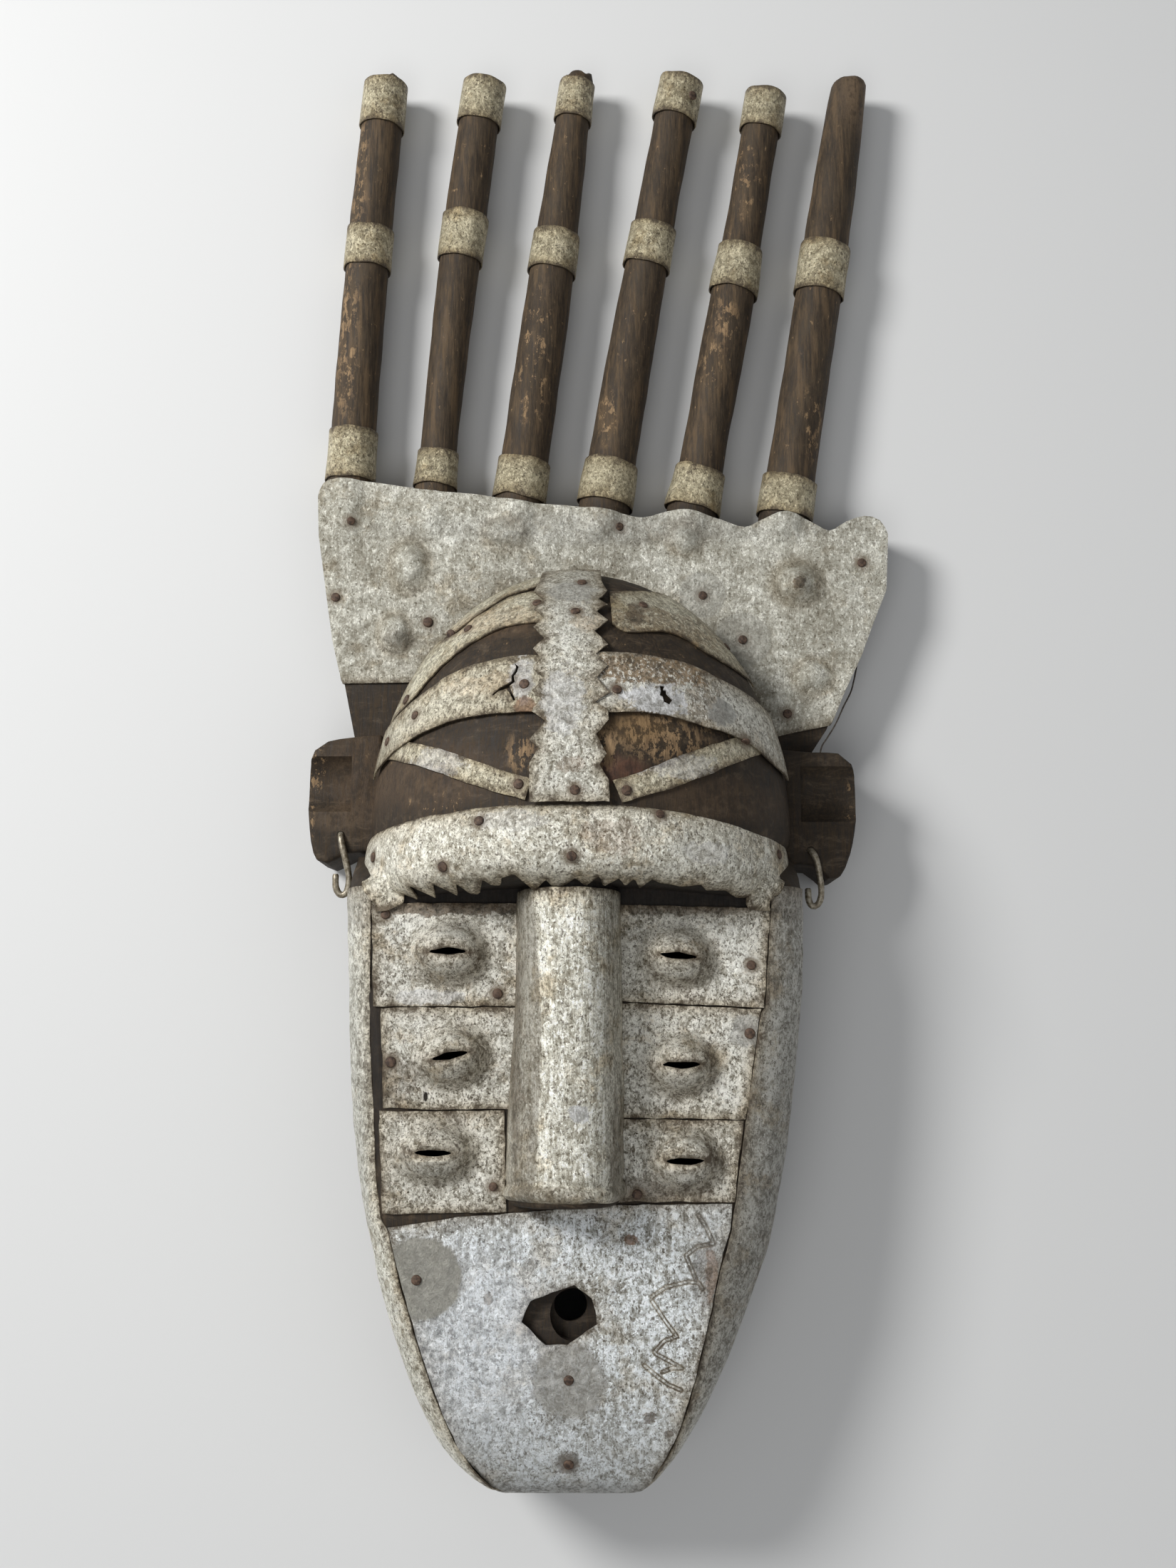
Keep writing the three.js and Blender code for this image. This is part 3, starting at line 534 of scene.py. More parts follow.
def nose_rings():
    stations = [(NOSE_TIP, 1.6), (NOSE_TIP + 0.6, 0.6), (NOSE_TIP + 1.8, 0)]
    stations += [(y, 0) for y in (-120, -100, -80, -60, -40, -20, 6)]
    rings = []
    for y, less in stations:
        arch = [nose_point(y, math.pi * i / 27, 0, less) for i in range(28)]
        rings.append([at(x, y, z) for x, z in arch])
    return rings


def rod_centre(rod, y):
    t = (y - ROD_STATIONS[0]) / (ROD_STATIONS[-1] - ROD_STATIONS[0])
    return rod["foot"] + (rod["tip"] - rod["foot"]) * t + rod["bow"] * 4 * t * (1 - t)


def rod_half(rod, y):
    return along(list(zip(ROD_STATIONS, rod["wide"])), y) / 2


def rod_ring(rod, y, number, grow=0.0, less=0.0, sides=24):
    x, half = rod_centre(rod, y), rod_half(rod, y)
    points = []
    for i in range(sides):
        angle = 2 * math.pi * i / sides
        lump = wander(math.cos(angle) * 9 + number * 40, y + math.sin(angle) * 9, 16, 0.035)
        radius = half * (0.975 + lump) + grow - less
        points.append(at(x + radius * math.cos(angle), y, ROD_LEVEL + radius * math.sin(angle)))
    return points


def rod_rings(rod, number):
    """Sections along a rod, with a ragged upper end."""
    end = rod["end"]
    rings = [rod_ring(rod, 190 + 6 * i, number) for i in range(int((end - 196) / 6) + 1)]
    for back, less in ((3.4, 0.2), (1.6, 0.9), (0.6, 2.0), (0, 3.6)):
        share = 1 - back / 3.4
        ring = []
        for i, p in enumerate(rod_ring(rod, end - back, number, 0, less)):
            longer = share * wander(i, number, 2.6, rod["ragged"], 4) * MM
            ring.append(Vector((p.x, min(p.y + longer, ROD_LIMIT * MM), p.z)))
        rings.append(ring)
    return rings


def ear(name, outline, front=45, back=3):
    piece = slab(name, smooth([*outline, outline[0]], 6)[:-1], back, front)
    round_edges(piece, 2.2, 3, 50)
    apply_all(piece)
    return piece


GROOVE_LEVEL = 51
GROOVE_HIGH = 15.5
GROOVE_DEEP = 13


def groove(name, y, from_x, to_x):
    """A round bar that cuts the hollow across an ear's front."""
    deselect()
    bpy.ops.mesh.primitive_cylinder_add(
        vertices=40, radius=1, depth=1, location=at((from_x + to_x) / 2, y, GROOVE_LEVEL),
        rotation=(0, math.pi / 2, 0))
    piece = bpy.context.object
    piece.name = name
    bpy.ops.object.transform_apply(location=False, rotation=True, scale=False)
    piece.scale = (abs(to_x - from_x) * MM, GROOVE_HIGH * MM, GROOVE_DEEP * MM)
    bpy.ops.object.transform_apply(location=True, rotation=True, scale=True)
    return piece


def oval(x, y, half_long, half_high, turn=0, sides=24, sharp=1.0):
    angle = math.radians(turn)
    points = []
    for i in range(sides):
        a = 2 * math.pi * i / sides
        u = half_long * math.copysign(abs(math.cos(a)) ** sharp, math.cos(a))
        v = half_high * math.sin(a)
        points.append((x + u * math.cos(angle) - v * math.sin(angle),
                       y + u * math.sin(angle) + v * math.cos(angle)))
    return points


def crest_outline(grow=0.0):
    points = [*smooth(CREST_TOP, 4), *CREST_RIGHT, *CREST_LEFT]
    if not grow:
        return points
    out = []
    count = len(points)
    for i, (x, y) in enumerate(points):
        bx, by = points[i - 1]
        ax, ay = points[(i + 1) % count]
        direction = Vector((ax - bx, ay - by)).normalized()
        out.append((x - direction.y * grow, y + direction.x * grow))
    return out


LEFT_HOOK = [
    (-112, 33, 36), (-111.6, 30.5, 45.5), (-110.5, 25, 47.2), (-108.5, 17, 46), (-107.2, 9, 44.5),
    (-108.5, 3, 43.5), (-111.5, 1.8, 43), (-113.8, 5.5, 43), (-114, 12, 43),
]
RIGHT_HOOK = [
    (116.5, 24, 36), (117.5, 23, 45.5), (119.8, 18.5, 47), (121.6, 10, 45.5), (122.2, 1.5, 44),
    (120.5, -3, 43.2), (117.8, -3.6, 43), (116.2, -0.5, 43), (116, 5, 43),
]
WIRE = [
    (146.6, 121.6, 14), (144.3, 113.1, 18), (141.9, 106.2, 22), (137.6, 98.2, 26), (133, 88.8, 30),
    (127.8, 80.5, 34), (125.1, 76.5, 37), (123.5, 72.1, 40),
]


HOOK_HALF = 1.6
HOOK_HOLE_HALF = 1.9
WIRE_HALF = 0.4


def bar(name, path, radius, sides=12, step=1.2, flat=1.0):
    """A round bar drawn along a path, ring by ring."""
    points = [Vector(p) for p in smooth(path, step)]
    rings = []
    side = Vector((0, 0, 1))
    count = len(points)
    for i, p in enumerate(points):
        direction = (points[min(i + 1, count - 1)] - points[max(i - 1, 0)]).normalized()
        side = (side - direction * side.dot(direction)).normalized()
        other = direction.cross(side)
        size = radius * (1 + wander(p.x, p.y, 5, 0.12, p.z))
        if i in (0, count - 1):
            size *= 0.7
        rings.append([at(*(p + side * (flat * size * math.cos(a)) + other * (size * math.sin(a))))
                      for a in (2 * math.pi * k / sides for k in range(sides))])
    return loft(name, rings)


# The hollow behind the face: the wall left beside it, as (y, wall), its level, and the dome's wall
HOLLOW = [
    (-256, 22), (-243, 18), (-220, 16), (-185, 15), (-145, 15), (-95, 15), (-45, 15), (5, 15), (32, 20),
]
HOLLOW_LEVEL = 69
DOME_WALL = 14


def carve():
    """The whole of the wood as one piece."""
    wood = loft("carved_wood", shell_rings())
    parts = [loft("dome_form", dome_rings(0, 0.1, 72, 20)), loft("brow_form", brow_rings()),
             loft("nose_form", nose_rings())]
    parts.append(slab("crest_form", crest_outline(), 0.05, CREST_LEVEL))
    for name, outline, y, from_x, to_x in (
            ("left_ear_form", LEFT_EAR, 56, -150, -107), ("right_ear_form", RIGHT_EAR, 51, 113, 170)):
        block = ear(name, outline)
        combine(block, groove(name + "_groove", y, from_x, to_x), "DIFFERENCE")
        parts.append(block)
    for number, rod in enumerate(RODS):
        parts.append(loft(f"rod_form_{number + 1}", rod_rings(rod, number)))
    for part in parts:
        combine(wood, part, "UNION")
    hollow_left = [(along(LEFT_SIDE, y) + wall, y) for y, wall in HOLLOW]
    hollow_right = [(along(RIGHT_SIDE, y) - wall, y) for y, wall in HOLLOW[::-1]]
    combine(wood, slab("trough", hollow_left + hollow_right, -2, HOLLOW_LEVEL), "DIFFERENCE")
    combine(wood, loft("dome_hollow", dome_rings(-DOME_WALL, -2.1, 48, 12)), "DIFFERENCE")
    for key, data in EYES.items():
        x, y = data["eye"]
        combine(wood, slab(key, oval(x, y, *EYE_HOLE, data["turn"], 20), 40, 90), "DIFFERENCE")
    combine(wood, slab("mouth_recess", MOUTH, 80.5, 92), "DIFFERENCE")
    combine(wood, slab("mouth_tunnel", oval(2.2, -190.5, 10.4, 11.6), 73, 92), "DIFFERENCE")
    combine(wood, slab("mouth_bore", oval(1, -187, 7.5, 7.5), 30, 92), "DIFFERENCE")
    for path in (LEFT_HOOK, RIGHT_HOOK):
        combine(wood, bar("hook_hole", path, HOOK_HOLE_HALF), "DIFFERENCE")
    soft_angle(wood, 35)
    return wood


wood = carve()
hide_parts("carved_body")
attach(wood, "root")

# The sheets

# Inner edges of the side strips, and the lower edge of the brow's sheet
STRIP_EDGE_LEFT = [
    (-91.5, 3), (-91.5, -53), (-90.5, -100), (-87, -146), (-82, -152), (-75.8, -176), (-67.8, -202),
    (-59.8, -225), (-50.8, -246), (-43.8, -256), (-33.8, -267.5), (-31, -270.4),
]
STRIP_EDGE_RIGHT = [
    (93.6, 3), (93.6, -8), (90.2, -54), (88.6, -55), (81, -104), (75.8, -140), (74, -152), (69, -169),
    (65, -188), (59.4, -210), (53.9, -230), (48, -246), (36, -266.5), (34, -270.4),
]
BROW_EDGE = [
    (-101, -1), (-97.4, -2.4), (-92, -2.8), (-83.6, -0.4), (-79, 3.4), (-74.8, -0.2), (-72.8, 5.9),
    (-66.5, -0.6), (-62.2, 4.8), (-55.4, -1.2), (-52.4, 3.9), (-48.9, -0.8), (-45.9, -1.4), (-43.9, -1),
    (-39.4, 4.1), (-36.8, 1.8), (-34.2, 1.3), (-31.9, 1.4), (-30.9, 3.9), (-24.2, 5.1), (-16.9, -1.7),
    (-10.5, 2.7), (-6.5, -1.3), (-4.4, -1), (3.2, 3.2), (8.3, 0.2), (14.3, 4.1), (16.8, 0), (23.5, 3.4),
    (27.2, 0.4), (30.5, 3.5), (34.4, -0.1), (38.6, 3.7), (43.1, 2.5), (48.9, 2.4), (52.9, 1.9),
    (56.5, 2.4), (61.5, 3.7), (65.9, 1.8), (74.3, 3), (82.2, 1.1), (87.2, 2.1), (93, -2.6), (99, -2.8),
    (108, -1),
]


def line(points, where):
    """Straight lines between points (where, value)."""
    if where <= points[0][0]:
        return points[0][1]
    for (a, u), (b, v) in zip(points, points[1:]):
        if where <= b:
            return u + (v - u) * (where - a) / (b - a)
    return points[-1][1]


def rough(outline, amount=0.35, step=2.5, seed=1.0):
    """A hand-cut edge: the outline in short steps, each a little off."""
    out = []
    count = len(outline)
    for i in range(count):
        (x0, y0), (x1, y1) = outline[i], outline[(i + 1) % count]
        pieces = max(1, round(math.dist((x0, y0), (x1, y1)) / step))
        for j in range(pieces):
            t = j / pieces
            x, y = x0 + (x1 - x0) * t, y0 + (y1 - y0) * t
            out.append((x + wander(x, y, 6, amount * 2, seed), y + wander(x, y, 6, amount * 2, seed + 9)))
    return out


def rim_points(piece):
    """Points along the free edges of a sheet, before it is given its thickness."""
    mesh = bmesh.new()
    mesh.from_mesh(piece.data)
    points = []
    for edge in mesh.edges:
        if edge.is_boundary:
            a, b = edge.verts[0].co, edge.verts[1].co
            points += [a.copy(), (a + b) / 2]
    mesh.free()
    return points


def tree_of(points):
    tree = KDTree(len(points))
    for i, p in enumerate(points):
        tree.insert(p, i)
    tree.balance()
    return tree


# How far the dirt of a rim and the rust round a nail reach
RIM_REACH = 3.8
RUST_REACH = 3.4


def thicken(piece, thick=SHEET, inner=None, degrees=40, even=True):
    """Gives a laid sheet its thickness, a rounded rim and marks that tell where its rim is."""
    edit(piece)
    weld()
    leave()
    face_up(piece, inner)
    rim = tree_of(rim_points(piece))
    add(piece, "SOLIDIFY", thickness=thick * MM, offset=1.0, use_even_offset=even)
    round_edges(piece, 0.22, 2, 55)
    apply_all(piece)
    soft_angle(piece, degrees)
    marks = piece.data.attributes.new("marks", "FLOAT_COLOR", "POINT")
    for vert, mark in zip(piece.data.vertices, marks.data):
        near = rim.find(vert.co)[2] / MM
        mark.color = (math.exp(-near / RIM_REACH), 0.0, 0.0, 1.0)
    return piece


def lift(piece, height):
    """Raises each point of a flat piece to a height that depends on its place."""
    for vert in piece.data.vertices:
        vert.co.z = height(*drawn(vert.co)) * MM
    piece.data.update()


def fold_down(piece, wanted, move):
    """Draws free edges of a sheet out by a move; with no test the edges drawn last go on."""
    if wanted:
        mesh = bmesh.new()
        mesh.from_mesh(piece.data)
        for part in (*mesh.faces, *mesh.edges, *mesh.verts):
            part.select = False
        for edge in mesh.edges:
            middle = (edge.verts[0].co + edge.verts[1].co) / 2
            if edge.is_boundary and wanted(*drawn(middle)):
                edge.select_set(True)
        mesh.to_mesh(piece.data)
        mesh.free()
    choose(piece)
    bpy.ops.object.mode_set(mode="EDIT")
    bpy.ops.mesh.select_mode(type="EDGE")
    bpy.ops.mesh.extrude_edges_move(TRANSFORM_OT_translate={"value": tuple(MM * m for m in move)})
    leave()


def on_limb(points, share=0.985):
    """Keeps an outline inside the dome's, so that a sheet ends on its steep side."""
    turned = []
    for x, y in points:
        u, v = dome_share(x, y)
        turned.append((x, y, math.hypot(u, v) > share, math.atan2(v, u) % (2 * math.pi)))
    start = next(i for i, p in enumerate(turned) if not p[2])
    turned = turned[start:] + turned[:start]
    out = []
    i = 0
    while i < len(turned):
        if not turned[i][2]:
            out.append(turned[i][:2])
            i += 1
            continue
        first = turned[i][3]
        while i < len(turned) and turned[i][2]:
            last = turned[i][3]
            i += 1
        pieces = max(1, round(abs(last - first) * 110 / 2.5))
        out += [dome_edge(first + (last - first) * j / pieces, share) for j in range(pieces + 1)]
    return out


def dome_height(x, y, grow=0.0):
    size = min(0.9995, math.hypot(*dome_share(x, y, grow)))
    return DOME["z"] + (DOME["tall"] + grow) * (1 - size ** DOME["full"]) ** (1 / DOME["full"])


def crumple(x, y, places):
    """Sharp little creases where the sheet is crushed."""
    total = 0.0
    for cx, cy, reach, depth in places:
        share = math.exp(-((x - cx) ** 2 + (y - cy) ** 2) / reach ** 2)
        total += share * depth * (0.5 - abs(wander(x + 1.7 * y, y - 0.6 * x, 7, 1.6, cx)))
    return total


def dome_sheet(name, outline, level, holes, creases):
    """A sheet laid over the dome, in a finer net where it is crushed."""
    piece = flat_shape(name, outline, holes)
    net(piece, CRUSHED_NET if creases else DOME_NET)
    lift(piece, lambda x, y: dome_height(x, y, level) + wander(x, y, 14, 0.3, 3)
         + wander(x, y, 5, 0.3, 6) + crumple(x, y, creases))
    return thicken(piece, inner=at(DOME["x"], DOME["y"], 20))


def strip_outline(name):
    upper, lower = STRIPS[name]
    return on_limb(rough([*smooth(upper, 3), *smooth(lower, 3)[::-1]], 0.3))


def centre_outline():
    """The toothed strip: the tips and notches of both long edges."""
    left = [(-13, 157), (-14, 148), (-16.5, 141), (-11.5, 135.5), (-16, 130), (-11, 124.5), (-16, 119.5),
            (-11, 113), (-16, 108), (-12.5, 103), (-16, 98), (-11, 93), (-16, 87), (-12, 83), (-16, 77),
            (-10, 72), (-17, 64), (-13, 60), (-17, 53), (-17.3, 44), (-16.8, 35.5)]
    right = [(18.3, 35.5), (18, 45), (14, 52), (17, 57), (12.5, 66), (18, 73), (17.5, 78), (12, 81),
             (19, 86), (12.5, 93), (18, 99), (12, 105), (18, 110), (11.5, 117), (18, 123), (13, 128),
             (18, 132), (14, 135), (18, 141), (15, 147), (15, 157)]
    return on_limb(rough([*left, *right], 0.25), 0.97)


def boss_share(x, y, boss):
    """A place's way from a boss's middle to its foot."""
    bx, by, wide, high = boss[:4]
    return math.hypot((x - bx) / (wide / 2), (y - by) / (high / 2))


def crest_height(x, y):
    """Height of the crest's sheet, with its bosses and the rods that lift its upper edge."""
    z = CREST_LEVEL + GAP + wander(x, y, 28, 0.75, 5) + wander(x, y, 9, 0.4, 7)
    for boss in BOSSES:
        rise, power = boss[4:]
        share = boss_share(x, y, boss) / BOSS_SKIRT
        if share < 1:
            z += rise * ((1 - share ** 2) ** power if power > 1.5 else (1 - share) ** 1.15)
    if y > ROD_COVER:
        for rod in RODS:
            aside = abs(x - rod_centre(rod, y)) / (rod_half(rod, y) + 0.8)
            if aside < 1:
                top = ROD_LEVEL + rod_half(rod, y) * 1.03 * math.sqrt(1 - aside ** 2) + GAP + 0.4
                z = max(z, z + (top - z) * ramp(y, ROD_COVER, ROD_COVER + 9))
    return z


def crest_low(x):
    """Where the crest's sheet ends below on either side."""
    return 109.5 if x < 0 else 88


def crest_skirt(x, y):
    """Whether an edge of the crest's sheet is one of those that fold down."""
    beside_dome = math.hypot((x - DOME["x"]) / 108, (y - DOME["y"]) / 136) <= 1
    return not beside_dome and y > crest_low(x) + 1


def crest_sheet():
    inner = [dome_edge(math.radians(23 + 2 * i), 1, 1) for i in range(61)]
    outer = [p for p in crest_outline(GAP) if p[1] > crest_low(p[0])]
    start = next(i for i, p in enumerate(outer) if p[0] < 0 and p[1] < 116)
    outer = [(-114.6, 109.4), *outer[start:], *outer[:start], (129.8, 88)]
    outer = [p for i, p in enumerate(outer) if i == 0 or math.dist(p, outer[i - 1]) > 0.5]
    piece = flat_shape("sheet_over_crest", [*outer, *inner])
    net(piece, NET)
    lift(piece, crest_height)
    fold_down(piece, crest_skirt, (0, 0, -1.6))
    fold_down(piece, None, (0, 0, -7.2))
    return thicken(piece, degrees=50)


def eye_place(x, y, data):
    """A place's way from an eye's middle to its foot: along it, across it and in all."""
    ex, ey = data["eye"]
    long, high = data["size"]
    turn = math.radians(data["turn"])
    u = ((x - ex) * math.cos(turn) + (y - ey) * math.sin(turn)) / (long / 2)
    v = ((y - ey) * math.cos(turn) - (x - ex) * math.sin(turn)) / (high / 2)
    return u, v, math.hypot(u, v)


def eye_ring(x, y, share, width):
    """The uneven ring that runs round an eye near its foot."""
    return bell(share, 0.8 + wander(x, y, 5, 0.05, 3), width)


def eye_height(x, y, data):
    """Height of an eye: its mound, less its ring, with raised lids and a fold between them."""
    u, v, share = eye_place(x, y, data)
    if share > EYE_SKIRT:
        return 0.0
    mound = EYE_RISE * (0.5 + 0.5 * math.cos(math.pi * (share / EYE_SKIRT) ** 1.35)) ** 0.8
    lens = math.hypot(u / 0.62, v / 0.2)
    lids = 0.75 * bell(lens, 1.2, 0.28) - 1.5 * bell(lens, 0, math.sqrt(0.8))
    return mound - 0.45 * eye_ring(x, y, share, 0.07) + lids


def eye_sheet(name, data):
    slit = rough(oval(*data["eye"], *SLIT, data["turn"], 22, 1.5), 0.28, 1.2, data["eye"][0])
    piece = flat_shape("sheet_" + name, rough(data["plate"], 0.3, 3, data["eye"][0]), [slit])
    net(piece, EYE_NET)
    lift(piece, lambda x, y: FACE_LEVEL + GAP + eye_height(x, y, data)
         + wander(x, y, 22, 0.7, 2) + wander(x, y, 6, 0.3, 4))
    return thicken(piece, degrees=50)


def eye_shade(x, y, data):
    """How much dirt and painted shade lie round an eye: dirt and painted shade along its foot, painted
    shade of its relief in its ring, both more towards the lower right, and dirt at the slit's corners.
    """
    u, v, share = eye_place(x, y, data)
    # Painted shade: the foot and the ring darken more towards the lower right, the side turned from the
    # light.
    downward = 0.22 * u - 0.22 * v
    foot = (0.62 + downward) * bell(share, 0.95, 0.28)
    ring = (0.9 + 0.2 * u - 0.2 * v) * eye_ring(x, y, share, 0.09)
    return max(foot, ring, 0.7 * bell(abs(u), 0.62, 0.14) * bell(v, 0, 0.16))


# Strokes of the double line scratched on the chin
ZIGZAG = [
    [(58.8, -146.6), (62, -151.5), (64.2, -156.3), (65.4, -158.8)],
    [(65.4, -158.8), (58, -160.2), (52.8, -164.1), (55.2, -169.5), (57.3, -174.8)],
    [(60.3, -178.8), (58.7, -176.2), (54, -175.6), (44, -177.8), (37.4, -182.2)],
    [(37.7, -184.1), (43, -192), (48.6, -199.4), (43, -201.3), (38.5, -206.2)],
    [(39, -207), (45, -210), (50.9, -213.2), (46, -213.3), (42.0, -215.0)],
    [(34, -212), (40, -217), (45, -220.5), (50.4, -222.8)],
]


def from_line(x, y, path):
    """Distance from a place to a path."""
    best = 99.0
    for (ax, ay), (bx, by) in zip(path, path[1:]):
        long = (bx - ax) ** 2 + (by - ay) ** 2
        t = min(1, max(0, ((x - ax) * (bx - ax) + (y - ay) * (by - ay)) / long))
        best = min(best, math.hypot(x - ax - t * (bx - ax), y - ay - t * (by - ay)))
    return best


def scratch_depth(x, y):
    """The double scratched line: one at its edges, nothing away from it."""
    return bell(min(from_line(x, y, path) for path in ZIGZAG), 0.75, 0.42)


def fine_area(piece, low, high, cuts):
    """Cuts the faces of one area finer."""
    edit(piece)
    bpy.ops.mesh.select_mode(type="FACE")
    bpy.ops.mesh.select_all(action="DESELECT")
    mesh = bmesh.from_edit_mesh(piece.data)
    for face in mesh.faces:
        x, y = drawn(face.calc_center_median())
        face.select_set(low[0] < x < high[0] and low[1] < y < high[1])
    bmesh.update_edit_mesh(piece.data)
    bpy.ops.mesh.subdivide(number_cuts=cuts)
    leave()


def chin_sheet():
    outline = [*smooth(CHIN_LEFT, 3), *smooth(CHIN_TOP, 3), *smooth(CHIN_RIGHT, 3)]
    piece = flat_shape("sheet_over_chin", rough(outline, 0.25, 3, 4), [rough(MOUTH, 0.3, 2, 6)])
    net(piece, NET)
    fine_area(piece, (30, -226), (68, -144), 4)
    lift(piece, lambda x, y: FACE_LEVEL + GAP - along(FRONT_DROP, y)
         + wander(x, y, 40, 0.9, 2) + wander(x, y, 8, 0.3, 4) - 0.32 * scratch_depth(x, y))
    fold_down(piece, lambda x, y: y < -269.8, (0, -0.3, -1.6))
    fold_down(piece, None, (0, 0, -9))
    return thicken(piece, inner=at(0, -200, 20))


def spread(path, count):
    """Count points spread evenly along a path."""
    lengths = [0.0]
    for a, b in zip(path, path[1:]):
        lengths.append(lengths[-1] + math.dist(a, b))
    out = []
    for i in range(count):
        want = lengths[-1] * i / (count - 1)
        k = next((j for j in range(len(path) - 1) if lengths[j + 1] >= want), len(path) - 2)
        t = (want - lengths[k]) / max(1e-9, lengths[k + 1] - lengths[k])
        out.append(tuple(u + (v - u) * t for u, v in zip(path[k], path[k + 1])))
    return out


# Heights of the points down a wrapped side
WRAP_LEVELS = (85, 84.3, 83, 81, 78, 75, 71, 66, 61, 55, 49, 43, 36.5)


def side_sheet(name, side):
    """The sheet that wraps one side of the face, in rows from the brow to the chin."""
    edge = STRIP_EDGE_LEFT if side < 0 else STRIP_EDGE_RIGHT
    inner = [(y, x) for x, y in reversed(edge)]
    rows = []
    y = 2.6
    while y > -270.4:
        limit = side * shell_point(y, side, 82)[0] - 0.6
        inside = side * min(side * line(inner, y) - 0.45, limit)
        path = [shell_point(y, side, z, GAP) for z in WRAP_LEVELS]
        path = [(x, z) for x, z in path if side * x > side * inside + 0.4]
        path = [(inside, path[0][1]), *path]
        raised = 0.55 + wander(y, 0, 9, 0.7, side) + 2.4 * bell(y, -261, 8)
        row = []
        for i, (x, z) in enumerate(spread(path, 16)):
            aside = wander(y, i, 8, 0.3, 3) + wander(y, i, 19, 0.5, 6)
            row.append(at(x + aside, y, z + raised * max(0, 1 - i / 3)))
        rows.append(row)
        y -= 3.1
    return thicken(grid(name, rows), inner=at(0, -100, 40))


def shoulder_height(x):
    """Height of the side strip's rounded shoulder just below the brow."""
    side = -1 if x < 0 else 1
    for z in range(85, 30, -1):
        if side * shell_point(0, side, z, GAP)[0] >= side * x:
            return z
    return 30


def brow_sheet():
    """The sheet round the brow, toothed below, with its ends tucked down to the sides of the face."""
    columns, down = 260, 26
    rows = []
    for j in range(down + 1):
        row = []
        for i in range(columns + 1):
            angle = math.pi * (0.06 + 0.88 * i / columns)
            middle = brow_point(angle, 10, 2)[0]
            high = 34.5 + wander(middle, 0, 12, 0.8, 8)
            y = high + (line(BROW_EDGE, middle) - high) * (j / down) ** 0.9
            out = along(BROW_PROFILE, y) if y > 1.6 else -7.9 - (1.6 - y) * 1.9
            at_end = ramp(abs(middle - BROW_MIDDLE), 82, 92)
            out = max(out, out + (-2 - out) * at_end)
            bump = wander(middle, y, 16, 1.1, 2) + wander(middle, y, 6, 0.35, 3)
            x, level, z = brow_point(angle, y, out - 1.1 + bump * ramp(y, 35.6, 27.6), GAP)
            share = ramp(level, 12, 3)
            inward = (2.2 if x < 0 else 4.5) * share + 3.5 * ramp(level, -1, -6)
            x -= math.copysign(at_end * inward, x)
            z += max(0.0, shoulder_height(x) + 1.8 - z) * share
            row.append(at(x, level, z))
        rows.append(row)
    return thicken(grid("sheet_round_brow", rows), inner=at(3, 20, 30), even=False)


def nose_sheet():
    """The sheath of the nose, with a hem and a curled lip at its lower end."""
    levels = [(-1 - 2.6 * j, 0.0) for j in range(48)] + [(-124.6 - 1.1 * j, 0.0) for j in range(10)]
    levels += [(-135.4, 0.1), (-137, 0.5), (-138.2, 1.3), (-138.8, 2.4), (-138.6, 3.6)]
    rows = []
    for y, less in levels:
        row = []
        for i in range(45):
            angle = math.pi * (0.045 + 0.91 * i / 44)
            x = nose_point(y, angle, GAP)[0]
            wave = (1.1 * math.sin(x / 4.3) + wander(x, 0, 7, 1.2, 9)) * ramp(-y, 125, 139)
            hem = y + 1.3 * math.sin(x / 6.1) + wander(x, 0, 5, 0.8, 11)
            bump = wander(x, y, 20, 0.7, 1) + wander(x, y, 7, 0.25, 2)
            bump += 1.3 * bell(hem, -136, 2.4) - 1.5 * bell(hem, -131, 1.5)
            x, z = nose_point(y, angle, GAP + 0.8 + max(bump, -0.7), less)
            longer = 0.4 * wave + wander(x, y, 9, 0.6, 3)
            row.append(at(x, y + longer, max(z + 0.5 * wave, FACE_LEVEL + 0.4)))
        rows.append(row)
    return thicken(grid("sheet_round_nose", rows), inner=at(0, -70, 80))


def band(name, rod, number, low, high):
    """A sleeve of sheet set square to its leaning rod, with hand-cut ends."""
    rings = []
    count = max(6, round((high - low) / 2.4))
    for j in range(count + 1):
        y = low + (high - low) * j / count
        middle = rod_centre(rod, y)
        lean = 1.25 * (rod_centre(rod, y + 1) - middle)
        edge = 1.0 if j in (0, count) else 0.0
        ring = []
        for i, p in enumerate(rod_ring(rod, y, number, GAP, 0, 36)):
            longer = wander(i, number + j, 4, edge, low) - (drawn(p)[0] - middle) * lean
            ring.append(p + Vector((0, longer * MM, 0)))
        rings.append(ring)
    middle = (low + high) / 2
    inner = at(rod_centre(rod, middle), middle, ROD_LEVEL)
    return thicken(loft(name, rings, capped=False), BAND_SHEET, inner)


# Outlines of the torn places
TEARS = {
    "forehead_strip_left_middle": [
        [(-24.4, 101.2), (-22.4, 99.3), (-23.2, 96.5), (-24.6, 94.6), (-24, 91.6), (-26.4, 89.9),
         (-25.6, 87.7), (-23.6, 83.0), (-24.3, 82.4), (-26.6, 87.0), (-28, 88.6), (-31.4, 87.6),
         (-33.8, 85.6), (-34.2, 86.4), (-31, 89.2), (-27.2, 91.2), (-25.5, 92.4), (-25.6, 95),
         (-24, 97.5), (-23.6, 99.4)]],
    "forehead_strip_right_middle": [
        [(41.2, 90.4), (43.4, 90.4), (42.9, 88.5), (44.2, 88.3), (44.5, 86.6), (47, 83.9), (45.4, 81.4),
         (43, 82.6), (42.4, 85.1), (41.1, 85.7), (41.6, 87.6)]],
}
